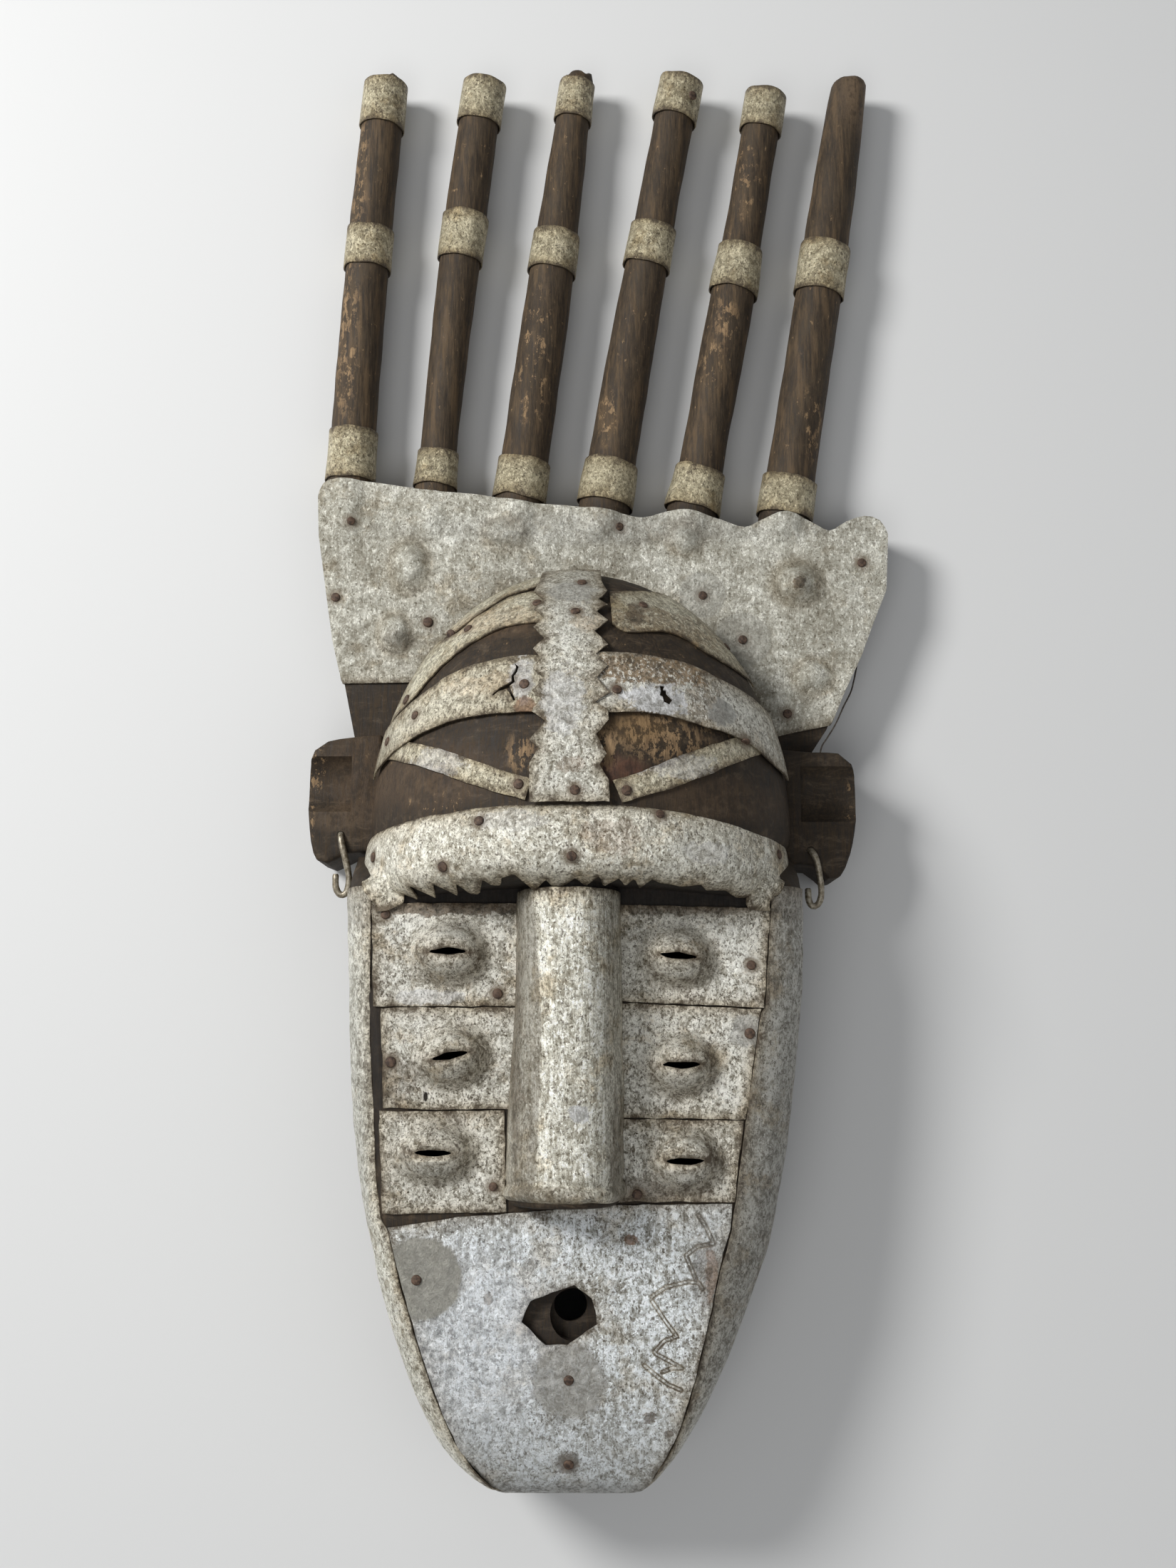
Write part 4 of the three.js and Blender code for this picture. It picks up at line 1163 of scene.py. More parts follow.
# Places where a sheet is crushed: x, y, reach and depth
CREASES = {
    "forehead_strip_right_middle": [(20, 98, 9, 1.0), (70.5, 82, 8, -1.6)],
    "forehead_centre_strip": [(-4, 84, 13, 1.6), (0, 58, 12, 0.9), (2, 120, 14, 0.7)],
}
SHEETS = {}
for strip in STRIPS:
    level = GAP + (OVERLAP if strip.endswith("middle") else 0.0)
    holes, creases = TEARS.get(strip, ()), CREASES.get(strip, ())
    SHEETS[strip] = dome_sheet("sheet_" + strip, strip_outline(strip), level, holes, creases)
centre = "forehead_centre_strip"
SHEETS[centre] = dome_sheet(
    "sheet_forehead_centre", centre_outline(), GAP + 2 * OVERLAP, (), CREASES[centre])
SHEETS["crest_sheet"] = crest_sheet()
for eye, data in EYES.items():
    SHEETS["eye_plate_" + eye] = eye_sheet("eye_plate_" + eye, data)
SHEETS["chin_plate"] = chin_sheet()
SHEETS["side_strip_left"] = side_sheet("sheet_left_side", -1)
SHEETS["side_strip_right"] = side_sheet("sheet_right_side", 1)
SHEETS["brow_band"] = brow_sheet()
SHEETS["nose_sheath"] = nose_sheet()
BANDS = {}
for number, rod in enumerate(RODS):
    for (low, high), place in zip(rod["bands"], ("lower", "middle", "upper")):
        node = f"rod_{number + 1}_band_{place}"
        BANDS[node] = band("sleeve_" + node, rod, number, low, high)
BARS = {
    "ear_hook_left": bar("bent_hook_left", LEFT_HOOK, HOOK_HALF),
    "ear_hook_right": bar("bent_hook_right", RIGHT_HOOK, HOOK_HALF),
    "loose_wire": bar("thin_wire", WIRE, WIRE_HALF, 8),
}
for piece in BARS.values():
    soft_angle(piece, 60)

for group, slot in ((SHEETS, "sheet"), (BANDS, "rod_band"), (BARS, "bent_bar")):
    for node, piece in group.items():
        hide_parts(node)
        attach(piece, "root")

# Nails, each on the line from the view point through its place
NAILS = [
    (-39, 26.7, 131), (-55.8, 7.8, 118), (1.7, 11.2, 131), (-91.3, 16.1, 80), (40.6, 29.9, 130),
    (98.1, 17.4, 80), (-84.5, -11, 86), (-32.6, -47.3, 86), (-81.1, -78.3, 86), (-33.9, -133.9, 86),
    (83.9, -34.3, 86), (82.8, -65.4, 86), (31.1, -137.3, 86), (-68, -174.8, 86), (0.3, -218.4, 84),
    (0.3, -255.6, 78), (64.3, 427.4, 28), (6, 148, 80), (3, 129, 100), (3, 41, 128), (-15, 135, 92),
    (-48, 125, 82), (-57, 125, 71), (-78, 93, 70), (-87, 73, 68), (-20, 91, 117), (-72, 82, 88),
    (-22, 44, 125), (35, 135, 88), (77, 123, 52), (22, 88, 119), (82, 69, 92), (26, 41, 126),
    (-112, 194, 29), (-119, 154, 29), (-72, 141, 29), (25, 191, 29), (67, 155, 29), (87, 132, 29),
    (148, 172, 29), (109, 94, 29),
]
VIEW_POINT = Vector((-0.00744, -0.15962, 0.908))
# Half the width of a nail's head
NAIL_HALF = 2.3
NAIL_PIECES = []


def nail_model():
    """A low round head with a soft edge, on a short pin."""
    deselect()
    bpy.ops.mesh.primitive_cylinder_add(
        vertices=16, radius=NAIL_HALF * MM, depth=1.1 * MM, location=(0, 0, 0))
    piece = bpy.context.object
    round_edges(piece, 0.42, 2, 50)
    apply_all(piece)
    for vert in piece.data.vertices:
        reach = math.hypot(vert.co.x, vert.co.y) / (NAIL_HALF * MM)
        if vert.co.z > 0:
            vert.co.z += 0.35 * MM * (1 - reach ** 2)
    soft_angle(piece, 50)
    return piece


def surfaces():
    found = []
    for piece in (*SHEETS.values(), *BANDS.values(), wood):
        places = [vert.co for vert in piece.data.vertices]
        found.append(BVHTree.FromPolygons(places, [face.vertices for face in piece.data.polygons]))
    return found


def drive_nails():
    model = nail_model()
    trees = surfaces()
    places = []
    for number, point in enumerate(NAILS):
        direction = (at(*point) - VIEW_POINT).normalized()
        hits = [hit for hit in (tree.ray_cast(VIEW_POINT, direction) for tree in trees) if hit[0]]
        where, normal = min(hits, key=lambda hit: hit[3])[:2]
        if normal.dot(direction) > 0:
            normal = -normal
        mesh = model.data.copy()
        size = 1 + wander(number, 0, 1.7, 0.25, 5)
        turn = normal.to_track_quat("Z", "Y").to_matrix().to_4x4()
        mesh.transform(Matrix.Translation(where + normal * 0.15 * MM) @ turn @ Matrix.Scale(size, 4))
        piece = bpy.data.objects.new(f"nail_{number + 1:02d}", mesh)
        mesh.name = piece.name
        bpy.context.collection.objects.link(piece)
        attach(piece, "root")
        places.append(where)
        NAIL_PIECES.append(piece)
    bpy.data.objects.remove(model)
    return tree_of(places)


nail_tree = drive_nails()


def own_dirt_and_shade(node, x, y):
    """How much dirt and painted shade a sheet's own forms gather at a place."""
    if node == "crest_sheet":
        # Painted shade: a soft ring round the foot of each boss, standing for the shading of its relief.
        return max(0.72 * bell(boss_share(x, y, boss), 1.05, 0.3) for boss in BOSSES)
    if node.startswith("eye_plate"):
        return 0.75 * eye_shade(x, y, EYES[node[10:]])
    if node == "chin_plate" and x > 28 and -226 < y < -144:
        return 1.35 * scratch_depth(x, y)
    return 0.0


for node, piece in SHEETS.items():
    marks = piece.data.attributes["marks"]
    for vert, mark in zip(piece.data.vertices, marks.data):
        near = nail_tree.find(vert.co)[2] / MM
        halo = math.exp(-max(0, near - NAIL_HALF - 0.3) / RUST_REACH)
        mark.color = (mark.color[0], halo, own_dirt_and_shade(node, *drawn(vert.co)), 1.0)


# Materials

class Graph:
    """Short ways to put a shader together, on places measured on the object itself."""

    def __init__(self, name):
        self.material = bpy.data.materials.new(name)
        self.material.use_nodes = True
        self.nodes = self.material.node_tree.nodes
        self.shader = self.nodes["Principled BSDF"]
        self.place = self.node("ShaderNodeTexCoord").outputs["Object"]
        self.marks = None
        self.colour = None

    def put(self, socket, value):
        if isinstance(value, bpy.types.NodeSocket):
            self.material.node_tree.links.new(value, socket)
        elif value is not None:
            if socket.type == "RGBA" and len(value) == 3:
                value = (*value, 1)
            socket.default_value = value

    def fill(self, node, **named):
        for key, value in named.items():
            self.put(node.inputs[key.replace("_", " ")], value)

    def node(self, kind, *values, **settings):
        node = self.nodes.new(kind)
        for key, value in settings.items():
            setattr(node, key, value)
        for socket, value in zip(node.inputs, values):
            self.put(socket, value)
        return node

    def noise(self, size, detail=3.0, rough=0.6, stretch=(1, 1, 1), shift=0.0, bend=0.0):
        offset = (shift, shift * 0.7, shift * 1.3)
        moved = self.node("ShaderNodeMapping", self.place, offset, None, stretch)
        node = self.node("ShaderNodeTexNoise")
        self.fill(node, Vector=moved.outputs[0], Scale=1 / (size * MM), Detail=detail, Roughness=rough,
                  Distortion=bend)
        return node.outputs[0]

    def calc(self, operation, a, b):
        return self.node("ShaderNodeMath", a, b, operation=operation).outputs[0]

    def plus(self, first, *others):
        for other in others:
            first = self.calc("ADD", first, other)
        return first

    def times(self, a, b):
        return self.calc("MULTIPLY", a, b)

    def swing(self, value, amount, middle=0.5):
        """How far a value lies over its middle, times an amount."""
        return self.times(self.calc("SUBTRACT", value, middle), amount)

    def ramp(self, value, low, high, to=(0.0, 1.0)):
        node = self.node("ShaderNodeMapRange", interpolation_type="SMOOTHSTEP")
        self.fill(node, Value=value, From_Min=low, From_Max=high, To_Min=to[0], To_Max=to[1])
        return node.outputs[0]

    def blend(self, factor, a, b, kind="MIX"):
        node = self.node("ShaderNodeMix", data_type="RGBA", blend_type=kind)
        for i, value in ((0, factor), (6, a), (7, b)):
            self.put(node.inputs[i], value)
        return node.outputs[2]

    def colours(self, value, stops):
        node = self.node("ShaderNodeValToRGB", value)
        elements = node.color_ramp.elements
        while len(elements) < len(stops):
            elements.new(0.5)
        for element, (place, colour) in zip(elements, stops):
            element.position = place
            element.color = (*colour, 1)
        return node.outputs[0]

    def mark(self, channel):
        if self.marks is None:
            source = self.node("ShaderNodeAttribute", attribute_name="marks")
            self.marks = self.node("ShaderNodeSeparateColor", source.outputs["Color"])
        return self.marks.outputs[channel]

    def spot(self, x, y, wide, high, wobble, edge=0.2, reach=0.9):
        """One inside an oval patch, nothing outside it, with an uneven edge."""
        moved = self.node("ShaderNodeVectorMath", self.place, at(x, y), operation="SUBTRACT").outputs[0]
        scale = (2 / (wide * MM), 2 / (high * MM), 0)
        scaled = self.node("ShaderNodeVectorMath", moved, scale, operation="MULTIPLY").outputs[0]
        length = self.node("ShaderNodeVectorMath", scaled, operation="LENGTH").outputs["Value"]
        return self.ramp(self.plus(length, self.swing(wobble, reach)), 1 - edge, 1 + edge, (1.0, 0.0))

    def bump(self, height, strength, distance):
        node = self.node("ShaderNodeBump")
        self.fill(node, Strength=strength, Distance=distance * MM, Height=height)
        self.fill(self.shader, Normal=node.outputs[0])

    def paint(self, mask, colour, kind="MIX"):
        """Lays a colour over what is there already, where the mask is."""
        self.colour = self.blend(mask, self.colour, colour, kind)

    def finish(self, rough, metal=0.0):
        self.fill(self.shader, Base_Color=self.colour, Roughness=rough, Metallic=metal)
        return self.material


# Each kind of spot: colour, how even it is inside, how soft its edge is and how much the edge wanders
SPOT_KINDS = {
    "pale": ((0.60, 0.58, 0.53), 0.45, 0.1, 3.0),
    # Painted dark slash: the dark wood in a cut and the shade in it.
    "hole": ((0.02, 0.015, 0.01), 0.9, 0.2, 0.5),
    # Painted highlight: a broad cool bright patch.
    "sheen": ((0.62, 0.67, 0.74), 0.7, 0.6, 1.2),
    # Partly painted shade: this dull grey stands for shade on the chin's rounded end and along the left
    # side strip's outer edge.
    "dull": ((0.25, 0.25, 0.235), 0.7, 0.6, 1.5),
    "grey": ((0.31, 0.305, 0.28), 0.75, 0.15, 2.4),
    "disc": ((0.285, 0.275, 0.235), 0.85, 0.06, 0.35),
    "stain": ((0.12, 0.10, 0.07), 0.7, 0.1, 0.6),
    # Painted shade, laid on the chin's lower edge and over the right side strip.
    "shade": ((0.15, 0.14, 0.12), 0.6, 0.8, 1.6),
    "crust": ((0.17, 0.112, 0.055), 0.3, 0.12, 3.2),
    "rust": ((0.17, 0.092, 0.048), 0.5, 0.12, 3.2),
    "earth": ((0.085, 0.06, 0.036), 0.3, 0.12, 3.2),
    "tan": ((0.40, 0.30, 0.19), 0.3, 0.12, 3.2),
}
OLD_METAL = [
    (0.1, (0.06, 0.047, 0.03)), (0.3, (0.16, 0.142, 0.11)), (0.55, (0.335, 0.325, 0.295)),
    (0.76, (0.57, 0.57, 0.555)), (0.96, (0.86, 0.875, 0.89)),
]
PIT = (0.11, 0.088, 0.06)
# Darkens the folds with dirt and painted shade.
GRIME_AND_SHADE_IN_FOLDS = (0.55, 0.48, 0.38)
GRIME_IN_PATCHES = (0.62, 0.53, 0.40)
GRIME_AT_RIM = (0.58, 0.49, 0.36)
DIRT = (0.085, 0.062, 0.038)
HALO = (0.20, 0.155, 0.105)


def metal(name, tint, contrast, spots, dirt_and_shade, brush=0.4, blotch=0.5):
    """Old sheet aluminium: dull and finely speckled, brown where dirt gathers, darker with painted shade
    in its folds and with painted light in some of its spots.
    """
    g = Graph(name)
    fine = g.noise(1.0, 4, 0.75, (1, 0.8, 1))
    bright = g.noise(1.7, 4, 0.75, (1, 0.7, 1), 15, 0.2)
    pits = g.noise(1.5, 4, 0.75, (1, 0.65, 1), 27)
    middle = g.noise(3.6, 7, 0.8, (1, 0.85, 1), 33, 0.5)
    patchy = g.noise(9, 8, 0.76, shift=7, bend=0.35)
    broad = g.noise(38, 3, 0.5, shift=11)
    scratch = g.noise(2.4, 6, 0.78, (1, 0.1, 1), 5, 0.5)
    rim, nails, fold_dirt_and_shade = (g.mark(channel) for channel in range(3))

    flecks = g.ramp(fine, 0.30, 0.47)
    uneven = g.calc("SUBTRACT", patchy, 0.5)
    tone = g.plus(
        0.58 + 0.09 * contrast, g.swing(flecks, 0.42 * contrast, 1.0),
        g.times(g.ramp(bright, 0.53, 0.63), 0.28 * contrast), g.swing(middle, 1.3 * contrast),
        g.times(uneven, 1.3 * blotch), g.swing(broad, 0.45), g.swing(scratch, 1.2 * brush))
    g.colour = g.colours(tone, OLD_METAL)
    g.paint(1.0, tint, "MULTIPLY")
    pitted = g.ramp(g.plus(pits, g.times(uneven, 0.45)), 0.55, 0.66)
    g.paint(g.times(pitted, min(0.85, 0.62 * contrast)), PIT)

    # Dirt and painted shade in the folds, round the crest's bosses and the eyes, darken the metal here and
    # again in the brown dirt below; the chin's scratches take dirt only.
    g.paint(g.times(fold_dirt_and_shade, 0.8), GRIME_AND_SHADE_IN_FOLDS, "MULTIPLY")
    dirty = g.ramp(g.noise(20, 7, 0.72, shift=51), 0.5, 0.66)
    g.paint(g.times(dirty, 0.6 * dirt_and_shade), GRIME_IN_PATCHES, "MULTIPLY")
    g.paint(g.times(rim, 0.75 * dirt_and_shade), GRIME_AT_RIM, "MULTIPLY")
    gathered_dirt_and_shade = g.plus(rim, g.times(fold_dirt_and_shade, 0.75), g.times(uneven, 2.2), g.swing(middle, -1.6))
    g.paint(g.times(g.ramp(gathered_dirt_and_shade, 0.4, 1.15), 0.85 * dirt_and_shade), DIRT)
    halo = g.ramp(g.plus(nails, g.times(uneven, 0.9)), 0.35, 1.0)
    g.paint(g.times(halo, 0.8), HALO)

    for kind, x, y, wide, high, strength in spots:
        shade, spread_inside, edge, reach = SPOT_KINDS[kind]
        mask = g.times(g.spot(x, y, wide, high, patchy, edge, reach), strength)
        if kind == "crust":
            mask = g.times(mask, g.ramp(bright, 0.62, 0.5))
        dark = tuple(spread_inside * c for c in shade)
        light = tuple(min(0.85, c * (2.4 - 1.3 * spread_inside)) for c in shade)
        g.paint(mask, g.blend(g.ramp(middle, 0.36, 0.64), dark, light))

    g.bump(g.plus(g.times(flecks, 0.6), g.times(patchy, 3.4), g.times(middle, 2.6)), 0.8, 0.35)
    return g.finish(g.ramp(tone, 0.1, 0.95, (0.72, 0.34)), g.ramp(tone, 0.35, 1.0, (0.1, 0.6)))


OLD_WOOD = [(0.3, (0.013, 0.008, 0.004)), (0.5, (0.042, 0.028, 0.0155)), (0.72, (0.105, 0.07, 0.038))]
BARE_WOOD = [(0.13, 0.078, 0.038), (0.34, 0.225, 0.118)]
WORN_GRAIN = (0.13, 0.083, 0.042)
OLD_GRIME = (0.58, 0.56, 0.52)
DUST = (0.15, 0.108, 0.068)
SOOT = (0.011, 0.008, 0.005)
# Where the rods begin, in metres along the mask
ROD_FOOT = (0.11, 0.125)
# The soot colour is laid only as painted shade.
WOOD_COLOURS = {"red": (0.115, 0.05, 0.028), "tan": (0.22, 0.15, 0.09), "gold": (0.30, 0.18, 0.07),
                "brown": (0.105, 0.066, 0.036), "soot_and_painted_shade": (0.014, 0.010, 0.007)}
# Worn places of the wood and places of painted shade: x, y, width, height, kind, and how strong it is (or
# from where chips show). The soot places are painted shade under the brow, in the mouth and in the gap
# beside the left eye plates.
WEAR = [
    (-112, 385, 9, 64, "chips", 0.51), (-116, 295, 11, 84, "chips", 0.51),
    (20, 320, 330, 260, "chips", 0.63), (-18, 290, 17, 54, "chips", 0.55),
    (-20.6, 262, 14, 30, "chips", 0.56), (18.5, 250, 9, 28, "chips", 0.52),
    (81, 302, 12, 26, "chips", 0.51), (73, 277, 11, 24, "chips", 0.54),
    (92, 383, 10, 48, "chips", 0.55), (124, 246, 10, 36, "chips", 0.54),
    (-124, 66, 8, 24, "chips", 0.54), (-127, 46, 5, 44, "chips", 0.54),
    (-113, 39, 26, 14, "tan", 0.25), (139, 45, 7, 24, "chips", 0.58), (42, 66, 36, 22, "chips", 0.48),
    (30, 70, 26, 14, "gold", 0.3), (24, 50, 22, 13, "red", 0.7), (-21, 58, 12, 16, "chips", 0.5),
    (17, 60.5, 10, 18, "chips", 0.46), (72, 74, 20, 8, "chips", 0.5), (-60, 38, 40, 10, "chips", 0.58),
    (158, 428, 30, 44, "tan", 0.5), (-100, 60, 40, 50, "brown", 0.5), (-92, -70, 16, 160, "soot_and_painted_shade", 0.7),
    (0, -187, 60, 40, "soot_and_painted_shade", 0.35), (0, -4, 230, 14, "soot_and_painted_shade", 0.9), (-60, 50, 60, 30, "brown", 0.5),
    (70, 40, 70, 20, "brown", 0.4), (-35, 124, 50, 16, "brown", 0.6), (0, 80, 200, 90, "chips", 0.64),
]


def timber():
    """Nearly black brown old wood, dusty, with chips that show the bare wood, and painted shade under the
    brow, in the mouth and beside the left eye plates.
    """
    g = Graph("old_dark_wood")
    grain = g.noise(1.2, 5, 0.75, (1, 0.08, 1))
    streak = g.noise(4.5, 5, 0.7, (1, 0.09, 1), 21)
    scuff = g.noise(7, 6, 0.8, (0.4, 1, 1), 41, 0.5)
    patchy = g.noise(13, 6, 0.66, (1, 0.6, 1), 4, 0.5)
    fleck = g.noise(3.4, 6, 0.74, (1, 0.55, 1), 9)
    along_mask = g.node("ShaderNodeSeparateXYZ", g.place).outputs["Y"]
    on_rods = g.ramp(along_mask, *ROD_FOOT)
    elsewhere = g.calc("SUBTRACT", 1.0, on_rods)

    g.colour = g.colours(grain, OLD_WOOD)
    g.paint(g.times(g.ramp(patchy, 0.42, 0.68), 0.3), DIRT)
    lines = g.times(g.ramp(streak, 0.48, 0.66), g.times(on_rods, 0.6))
    g.paint(lines, WORN_GRAIN)
    g.paint(elsewhere, OLD_GRIME, "MULTIPLY")
    dust = g.times(g.ramp(scuff, 0.50, 0.68), g.times(elsewhere, 0.4))
    g.paint(dust, DUST)
    soot_and_painted_shade = g.times(g.ramp(scuff, 0.46, 0.36), g.times(elsewhere, 0.7))
    g.paint(soot_and_painted_shade, SOOT)

    normal = g.node("ShaderNodeNewGeometry").outputs["Normal"]
    seen = g.ramp(g.node("ShaderNodeSeparateXYZ", normal).outputs["Z"], -0.35, -0.1)
    for x, y, wide, high, kind, amount in WEAR:
        if kind == "chips":
            chips = g.ramp(fleck, amount, amount + 0.04)
            mask = g.times(g.times(g.spot(x, y, wide, high, patchy, 0.5), chips), g.times(seen, 0.85))
            shade = g.blend(g.ramp(grain, 0.35, 0.65), *BARE_WOOD)
        else:
            mask = g.times(g.spot(x, y, wide, high, fleck, 0.3, 2.2), g.times(seen, amount))
            dark = tuple(0.4 * c for c in WOOD_COLOURS[kind])
            shade = g.blend(g.ramp(fleck, 0.38, 0.6), dark, WOOD_COLOURS[kind])
        g.paint(mask, shade)
    g.fill(g.shader, Specular_IOR_Level=0.35)
    g.bump(g.plus(grain, g.times(patchy, 1.5)), 0.7, 0.4)
    return g.finish(g.ramp(grain, 0.3, 0.7, (0.6, 0.82)))


# Spots of the sheets: kind, x, y, width, height and strength
CREST_SPOTS = [
    ("disc", 66.7, 155, 24, 24, 0.5), ("disc", 87, 132, 28, 28, 0.5), ("earth", 115.5, 160, 7, 7, 0.8),
    ("dull", 20, 190, 200, 16, 0.3), ("earth", -88, 132, 14, 9, 0.35),
]
CENTRE_STRIP_SPOTS = [
    ("pale", -3, 82, 19, 28, 0.5), ("rust", 2, 52, 13, 6, 0.3), ("tan", 8, 122, 13, 10, 0.35),
    ("grey", 2, 140, 22, 14, 0.5),
]
LEFT_STRIP_SPOTS = [
    ("pale", -21, 94, 12, 22, 0.55), ("rust", -19.5, 80, 9, 9, 0.75), ("tan", -40, 92, 40, 10, 0.25),
]
RIGHT_STRIP_SPOTS = [
    ("crust", 38, 98.5, 56, 15, 0.85), ("crust", 62, 86, 18, 24, 0.45), ("pale", 40, 84, 28, 15, 0.9),
    ("grey", 71, 81, 14, 13, 0.75),
]
OTHER_STRIP_SPOTS = [
    ("crust", 50, 124, 60, 18, 0.5), ("earth", 31, 128, 9, 12, 0.7), ("earth", 54, 116, 9, 5, 0.8),
    ("tan", -40, 128, 60, 12, 0.3), ("earth", 92, 105, 16, 30, 0.5), ("pale", -60, 56, 26, 14, 0.4),
    ("pale", 50, 53, 34, 12, 0.35),
]
BROW_SPOTS = [
    ("rust", 20, 20, 26, 14, 0.3), ("pale", -25, 27, 30, 10, 0.3), ("pale", 62, 14, 22, 10, 0.35),
]
# On the eye plates the two long earth spots along the top edges are dirt and the painted shadow of the
# brow, and the hole spot is a painted dark slash: the dark wood in a cut and the shade in it.
EYE_SPOTS = [
    ("hole", -64.9, -93.8, 2, 4.5, 1.0), ("earth", -55, -8, 66, 7, 0.8), ("earth", -78, -86, 20, 22, 0.35),
    ("earth", 33, -136, 26, 12, 0.5), ("earth", 50, -8, 66, 7, 0.6), ("pale", -66, -49, 34, 6, 0.5),
    ("grey", 81, -64, 16, 14, 0.6),
]
# The nose grows darker down both its sides and across its lower end.
NOSE_SPOTS = [
    ("stain", -19, -72, 14, 150, 0.6), ("stain", 20, -80, 8, 130, 0.3), ("stain", -8, -136, 40, 9, 0.4),
    ("earth", -25, -70, 8, 150, 0.45), ("earth", 23, -120, 9, 60, 0.45), ("pale", 4.9, -100.3, 9, 8, 0.8),
]
# On the chin the sheen spot is a painted highlight, and the shade spot at its lower edge and the low dull
# spot are painted shade where it rounds over.
CHIN_SPOTS = [
    ("shade", 2, -272, 110, 14, 0.7), ("sheen", -40, -200, 66, 84, 0.42),
    ("dull", 0, -252, 120, 50, 0.35), ("dull", 66, -160, 30, 60, 0.4),
    ("stain", -66, -174, 38, 38, 0.45), ("disc", -66, -174, 36, 36, 0.9),
    ("stain", 0.3, -219.5, 33, 33, 0.45), ("pale", 0.3, -219.5, 29, 29, 0.35),
    ("disc", 0.3, -219.5, 31, 31, 0.5), ("rust", 27.8, -157.8, 6.5, 5, 0.8),
    ("earth", 36, -235, 6, 5, 0.7), ("earth", 45, -242, 4, 3, 0.7),
    ("earth", 0.3, -255, 11, 11, 0.5), ("earth", -35.5, -183, 4, 6, 0.5),
    ("earth", 62, -170, 12, 30, 0.4), ("rust", 64, -172, 5, 22, 0.4),
]
# The long dull spot is painted shade along the left side strip's outer edge.
LEFT_SIDE_SPOTS = [("earth", -100, -4, 22, 24, 0.35), ("dull", -98, -120, 14, 200, 0.3)]
# The shade spots are painted shade over the right side strip, which faces away from the light.
RIGHT_SIDE_SPOTS = [
    ("earth", 104, -6, 22, 20, 0.4), ("earth", 57, -190, 14, 30, 0.4), ("shade", 106, -110, 30, 240, 0.5),
    ("shade", 84, -200, 50, 190, 0.5),
]

# Name, tint, contrast, spots, dirt (raised with painted shade on the right side strip), brushing and
# blotches of each sheet's metal
SHEET_METALS = {
    "crest_sheet": ("crest", (1.05, 1.02, 0.9), 0.8, CREST_SPOTS, 1.0, 0.35, 0.85),
    "chin_plate": ("chin", (1.16, 1.19, 1.19), 1.9, CHIN_SPOTS, 1.0, 0.9, 0.35),
    "brow_band": ("brow", (1.24, 1.19, 1.04), 1.7, BROW_SPOTS, 1.3, 0.4, 0.7),
    "nose_sheath": ("nose", (1.32, 1.28, 1.13), 1.5, NOSE_SPOTS, 1.3, 1.4, 0.45),
    "side_strip_left": ("side", (1.16, 1.13, 1.0), 1.9, LEFT_SIDE_SPOTS, 1.1, 0.8, 0.8),
    # Painted shade: a darker tint and more dirt make the right side strip a shaded copy of the left one's
    # metal.
    "side_strip_right": ("shaded_side", (0.92, 0.9, 0.82), 1.9, RIGHT_SIDE_SPOTS, 1.5, 0.8, 0.8),
    "forehead_strip_left_middle": (
        "forehead_strip_left_middle", (0.92, 0.86, 0.69), 1.7, LEFT_STRIP_SPOTS, 1.2, 0.4, 0.7),
    "forehead_strip_right_middle": (
        "forehead_strip_right_middle", (1.05, 1.02, 0.92), 1.7, RIGHT_STRIP_SPOTS, 1.2, 0.4, 0.7),
    "forehead_centre_strip": (
        "forehead_centre_strip", (1.06, 1.03, 0.92), 1.7, CENTRE_STRIP_SPOTS, 1.2, 0.4, 0.7),
    "forehead": ("strip", (1.06, 1.0, 0.8), 1.6, OTHER_STRIP_SPOTS, 1.3, 0.4, 0.7),
    "eye": ("eye_plate", (1.03, 1.0, 0.9), 2.2, EYE_SPOTS, 1.2, 0.4, 0.6),
    "rod": ("band", (0.82, 0.73, 0.51), 1.4, (), 1.25),
}
METALS = {node: metal(name + "_aluminium", *values) for node, (name, *values) in SHEET_METALS.items()}
for node, piece in (*SHEETS.items(), *BANDS.items()):
    piece.data.materials.append(METALS.get(node) or METALS[node.split("_")[0]])
wood.data.materials.clear()
wood.data.materials.append(timber())


def simple_metal(name, dark, light, rough_value, shine):
    """Plain iron or bar, with a fine change of tone."""
    g = Graph(name)
    tone = g.noise(1.8, 5, 0.7)
    g.colour = g.blend(g.ramp(tone, 0.35, 0.65), dark, light)
    g.bump(tone, 0.4, 0.2)
    return g.finish(rough_value, shine)


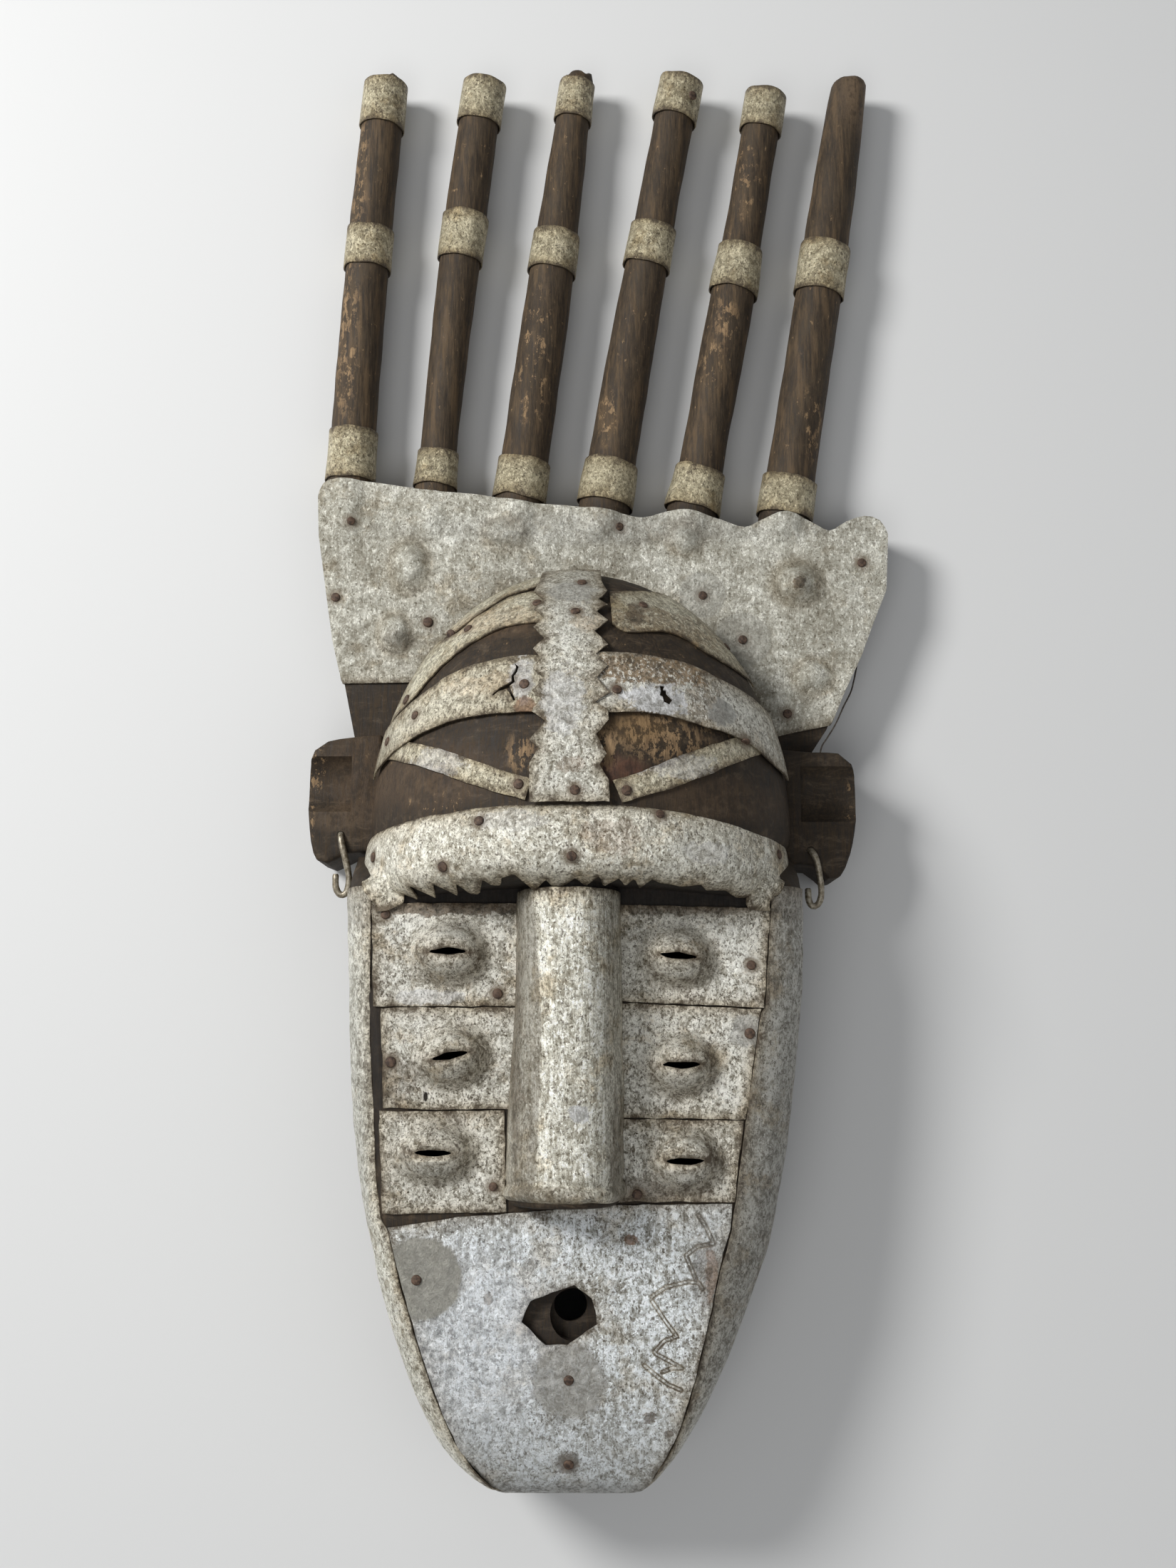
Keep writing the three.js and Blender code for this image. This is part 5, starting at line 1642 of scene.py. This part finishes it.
hook_metal = simple_metal("hook_metal", (0.16, 0.13, 0.085), (0.42, 0.38, 0.30), 0.45, 0.6)
wire_metal = simple_metal("wire_iron", (0.05, 0.04, 0.03), (0.14, 0.12, 0.10), 0.5, 0.6)
rust_metal = simple_metal("rusted_iron", (0.035, 0.021, 0.014), (0.13, 0.08, 0.052), 0.7, 0.2)
for node, piece in BARS.items():
    piece.data.materials.append(wire_metal if node == "loose_wire" else hook_metal)
for piece in NAIL_PIECES:
    piece.data.materials.append(rust_metal)

# Floor, light and camera

LIT_PLACE = (0, 0, 0.05)
FLOOR_PAINT = (0.66, 0.66, 0.65, 1)
DAYLIGHT = (0.92, 0.95, 1.0, 1)
DAYLIGHT_STRENGTH = 0.24
CAMERA_TILT = 8.5
CAMERA_LENS = 40.909
CAMERA_SENSOR = 36


def lamp(name, place, size, power):
    """A round soft light turned to the mask."""
    deselect()
    bpy.ops.object.light_add(type="AREA", location=place)
    light = bpy.context.object
    light.name = name
    light.data.shape = "DISK"
    light.data.size = size
    light.data.energy = power
    light.rotation_euler = (Vector(LIT_PLACE) - Vector(place)).to_track_quat("-Z", "Y").to_euler()


deselect()
bpy.ops.mesh.primitive_plane_add(size=6, location=(0, 0, 0))
floor = bpy.context.object
floor.name = "pale_floor"
paint = bpy.data.materials.new("floor_paint")
paint.use_nodes = True
paint_shader = paint.node_tree.nodes["Principled BSDF"]
paint_shader.inputs["Base Color"].default_value = FLOOR_PAINT
paint_shader.inputs["Roughness"].default_value = 0.8
floor.data.materials.append(paint)

lamp("key_light", (-1.2, 0.65, 1.25), 0.6, 32)
lamp("fill_light", (1.3, -0.5, 1.6), 1.6, 3.5)
lamp("front_light", (-0.4, -0.9, 1.8), 1.2, 8)

scene = bpy.context.scene
scene.view_settings.view_transform = "Standard"
scene.world = bpy.data.worlds.new("soft_studio")
scene.world.use_nodes = True
backdrop = scene.world.node_tree.nodes["Background"]
backdrop.inputs["Color"].default_value = DAYLIGHT
backdrop.inputs["Strength"].default_value = DAYLIGHT_STRENGTH

deselect()
bpy.ops.object.camera_add(location=VIEW_POINT, rotation=(math.radians(CAMERA_TILT), 0, 0))
scene.camera = bpy.context.object
scene.camera.name = "front_camera"
scene.camera.data.lens = CAMERA_LENS
scene.camera.data.sensor_width = CAMERA_SENSOR
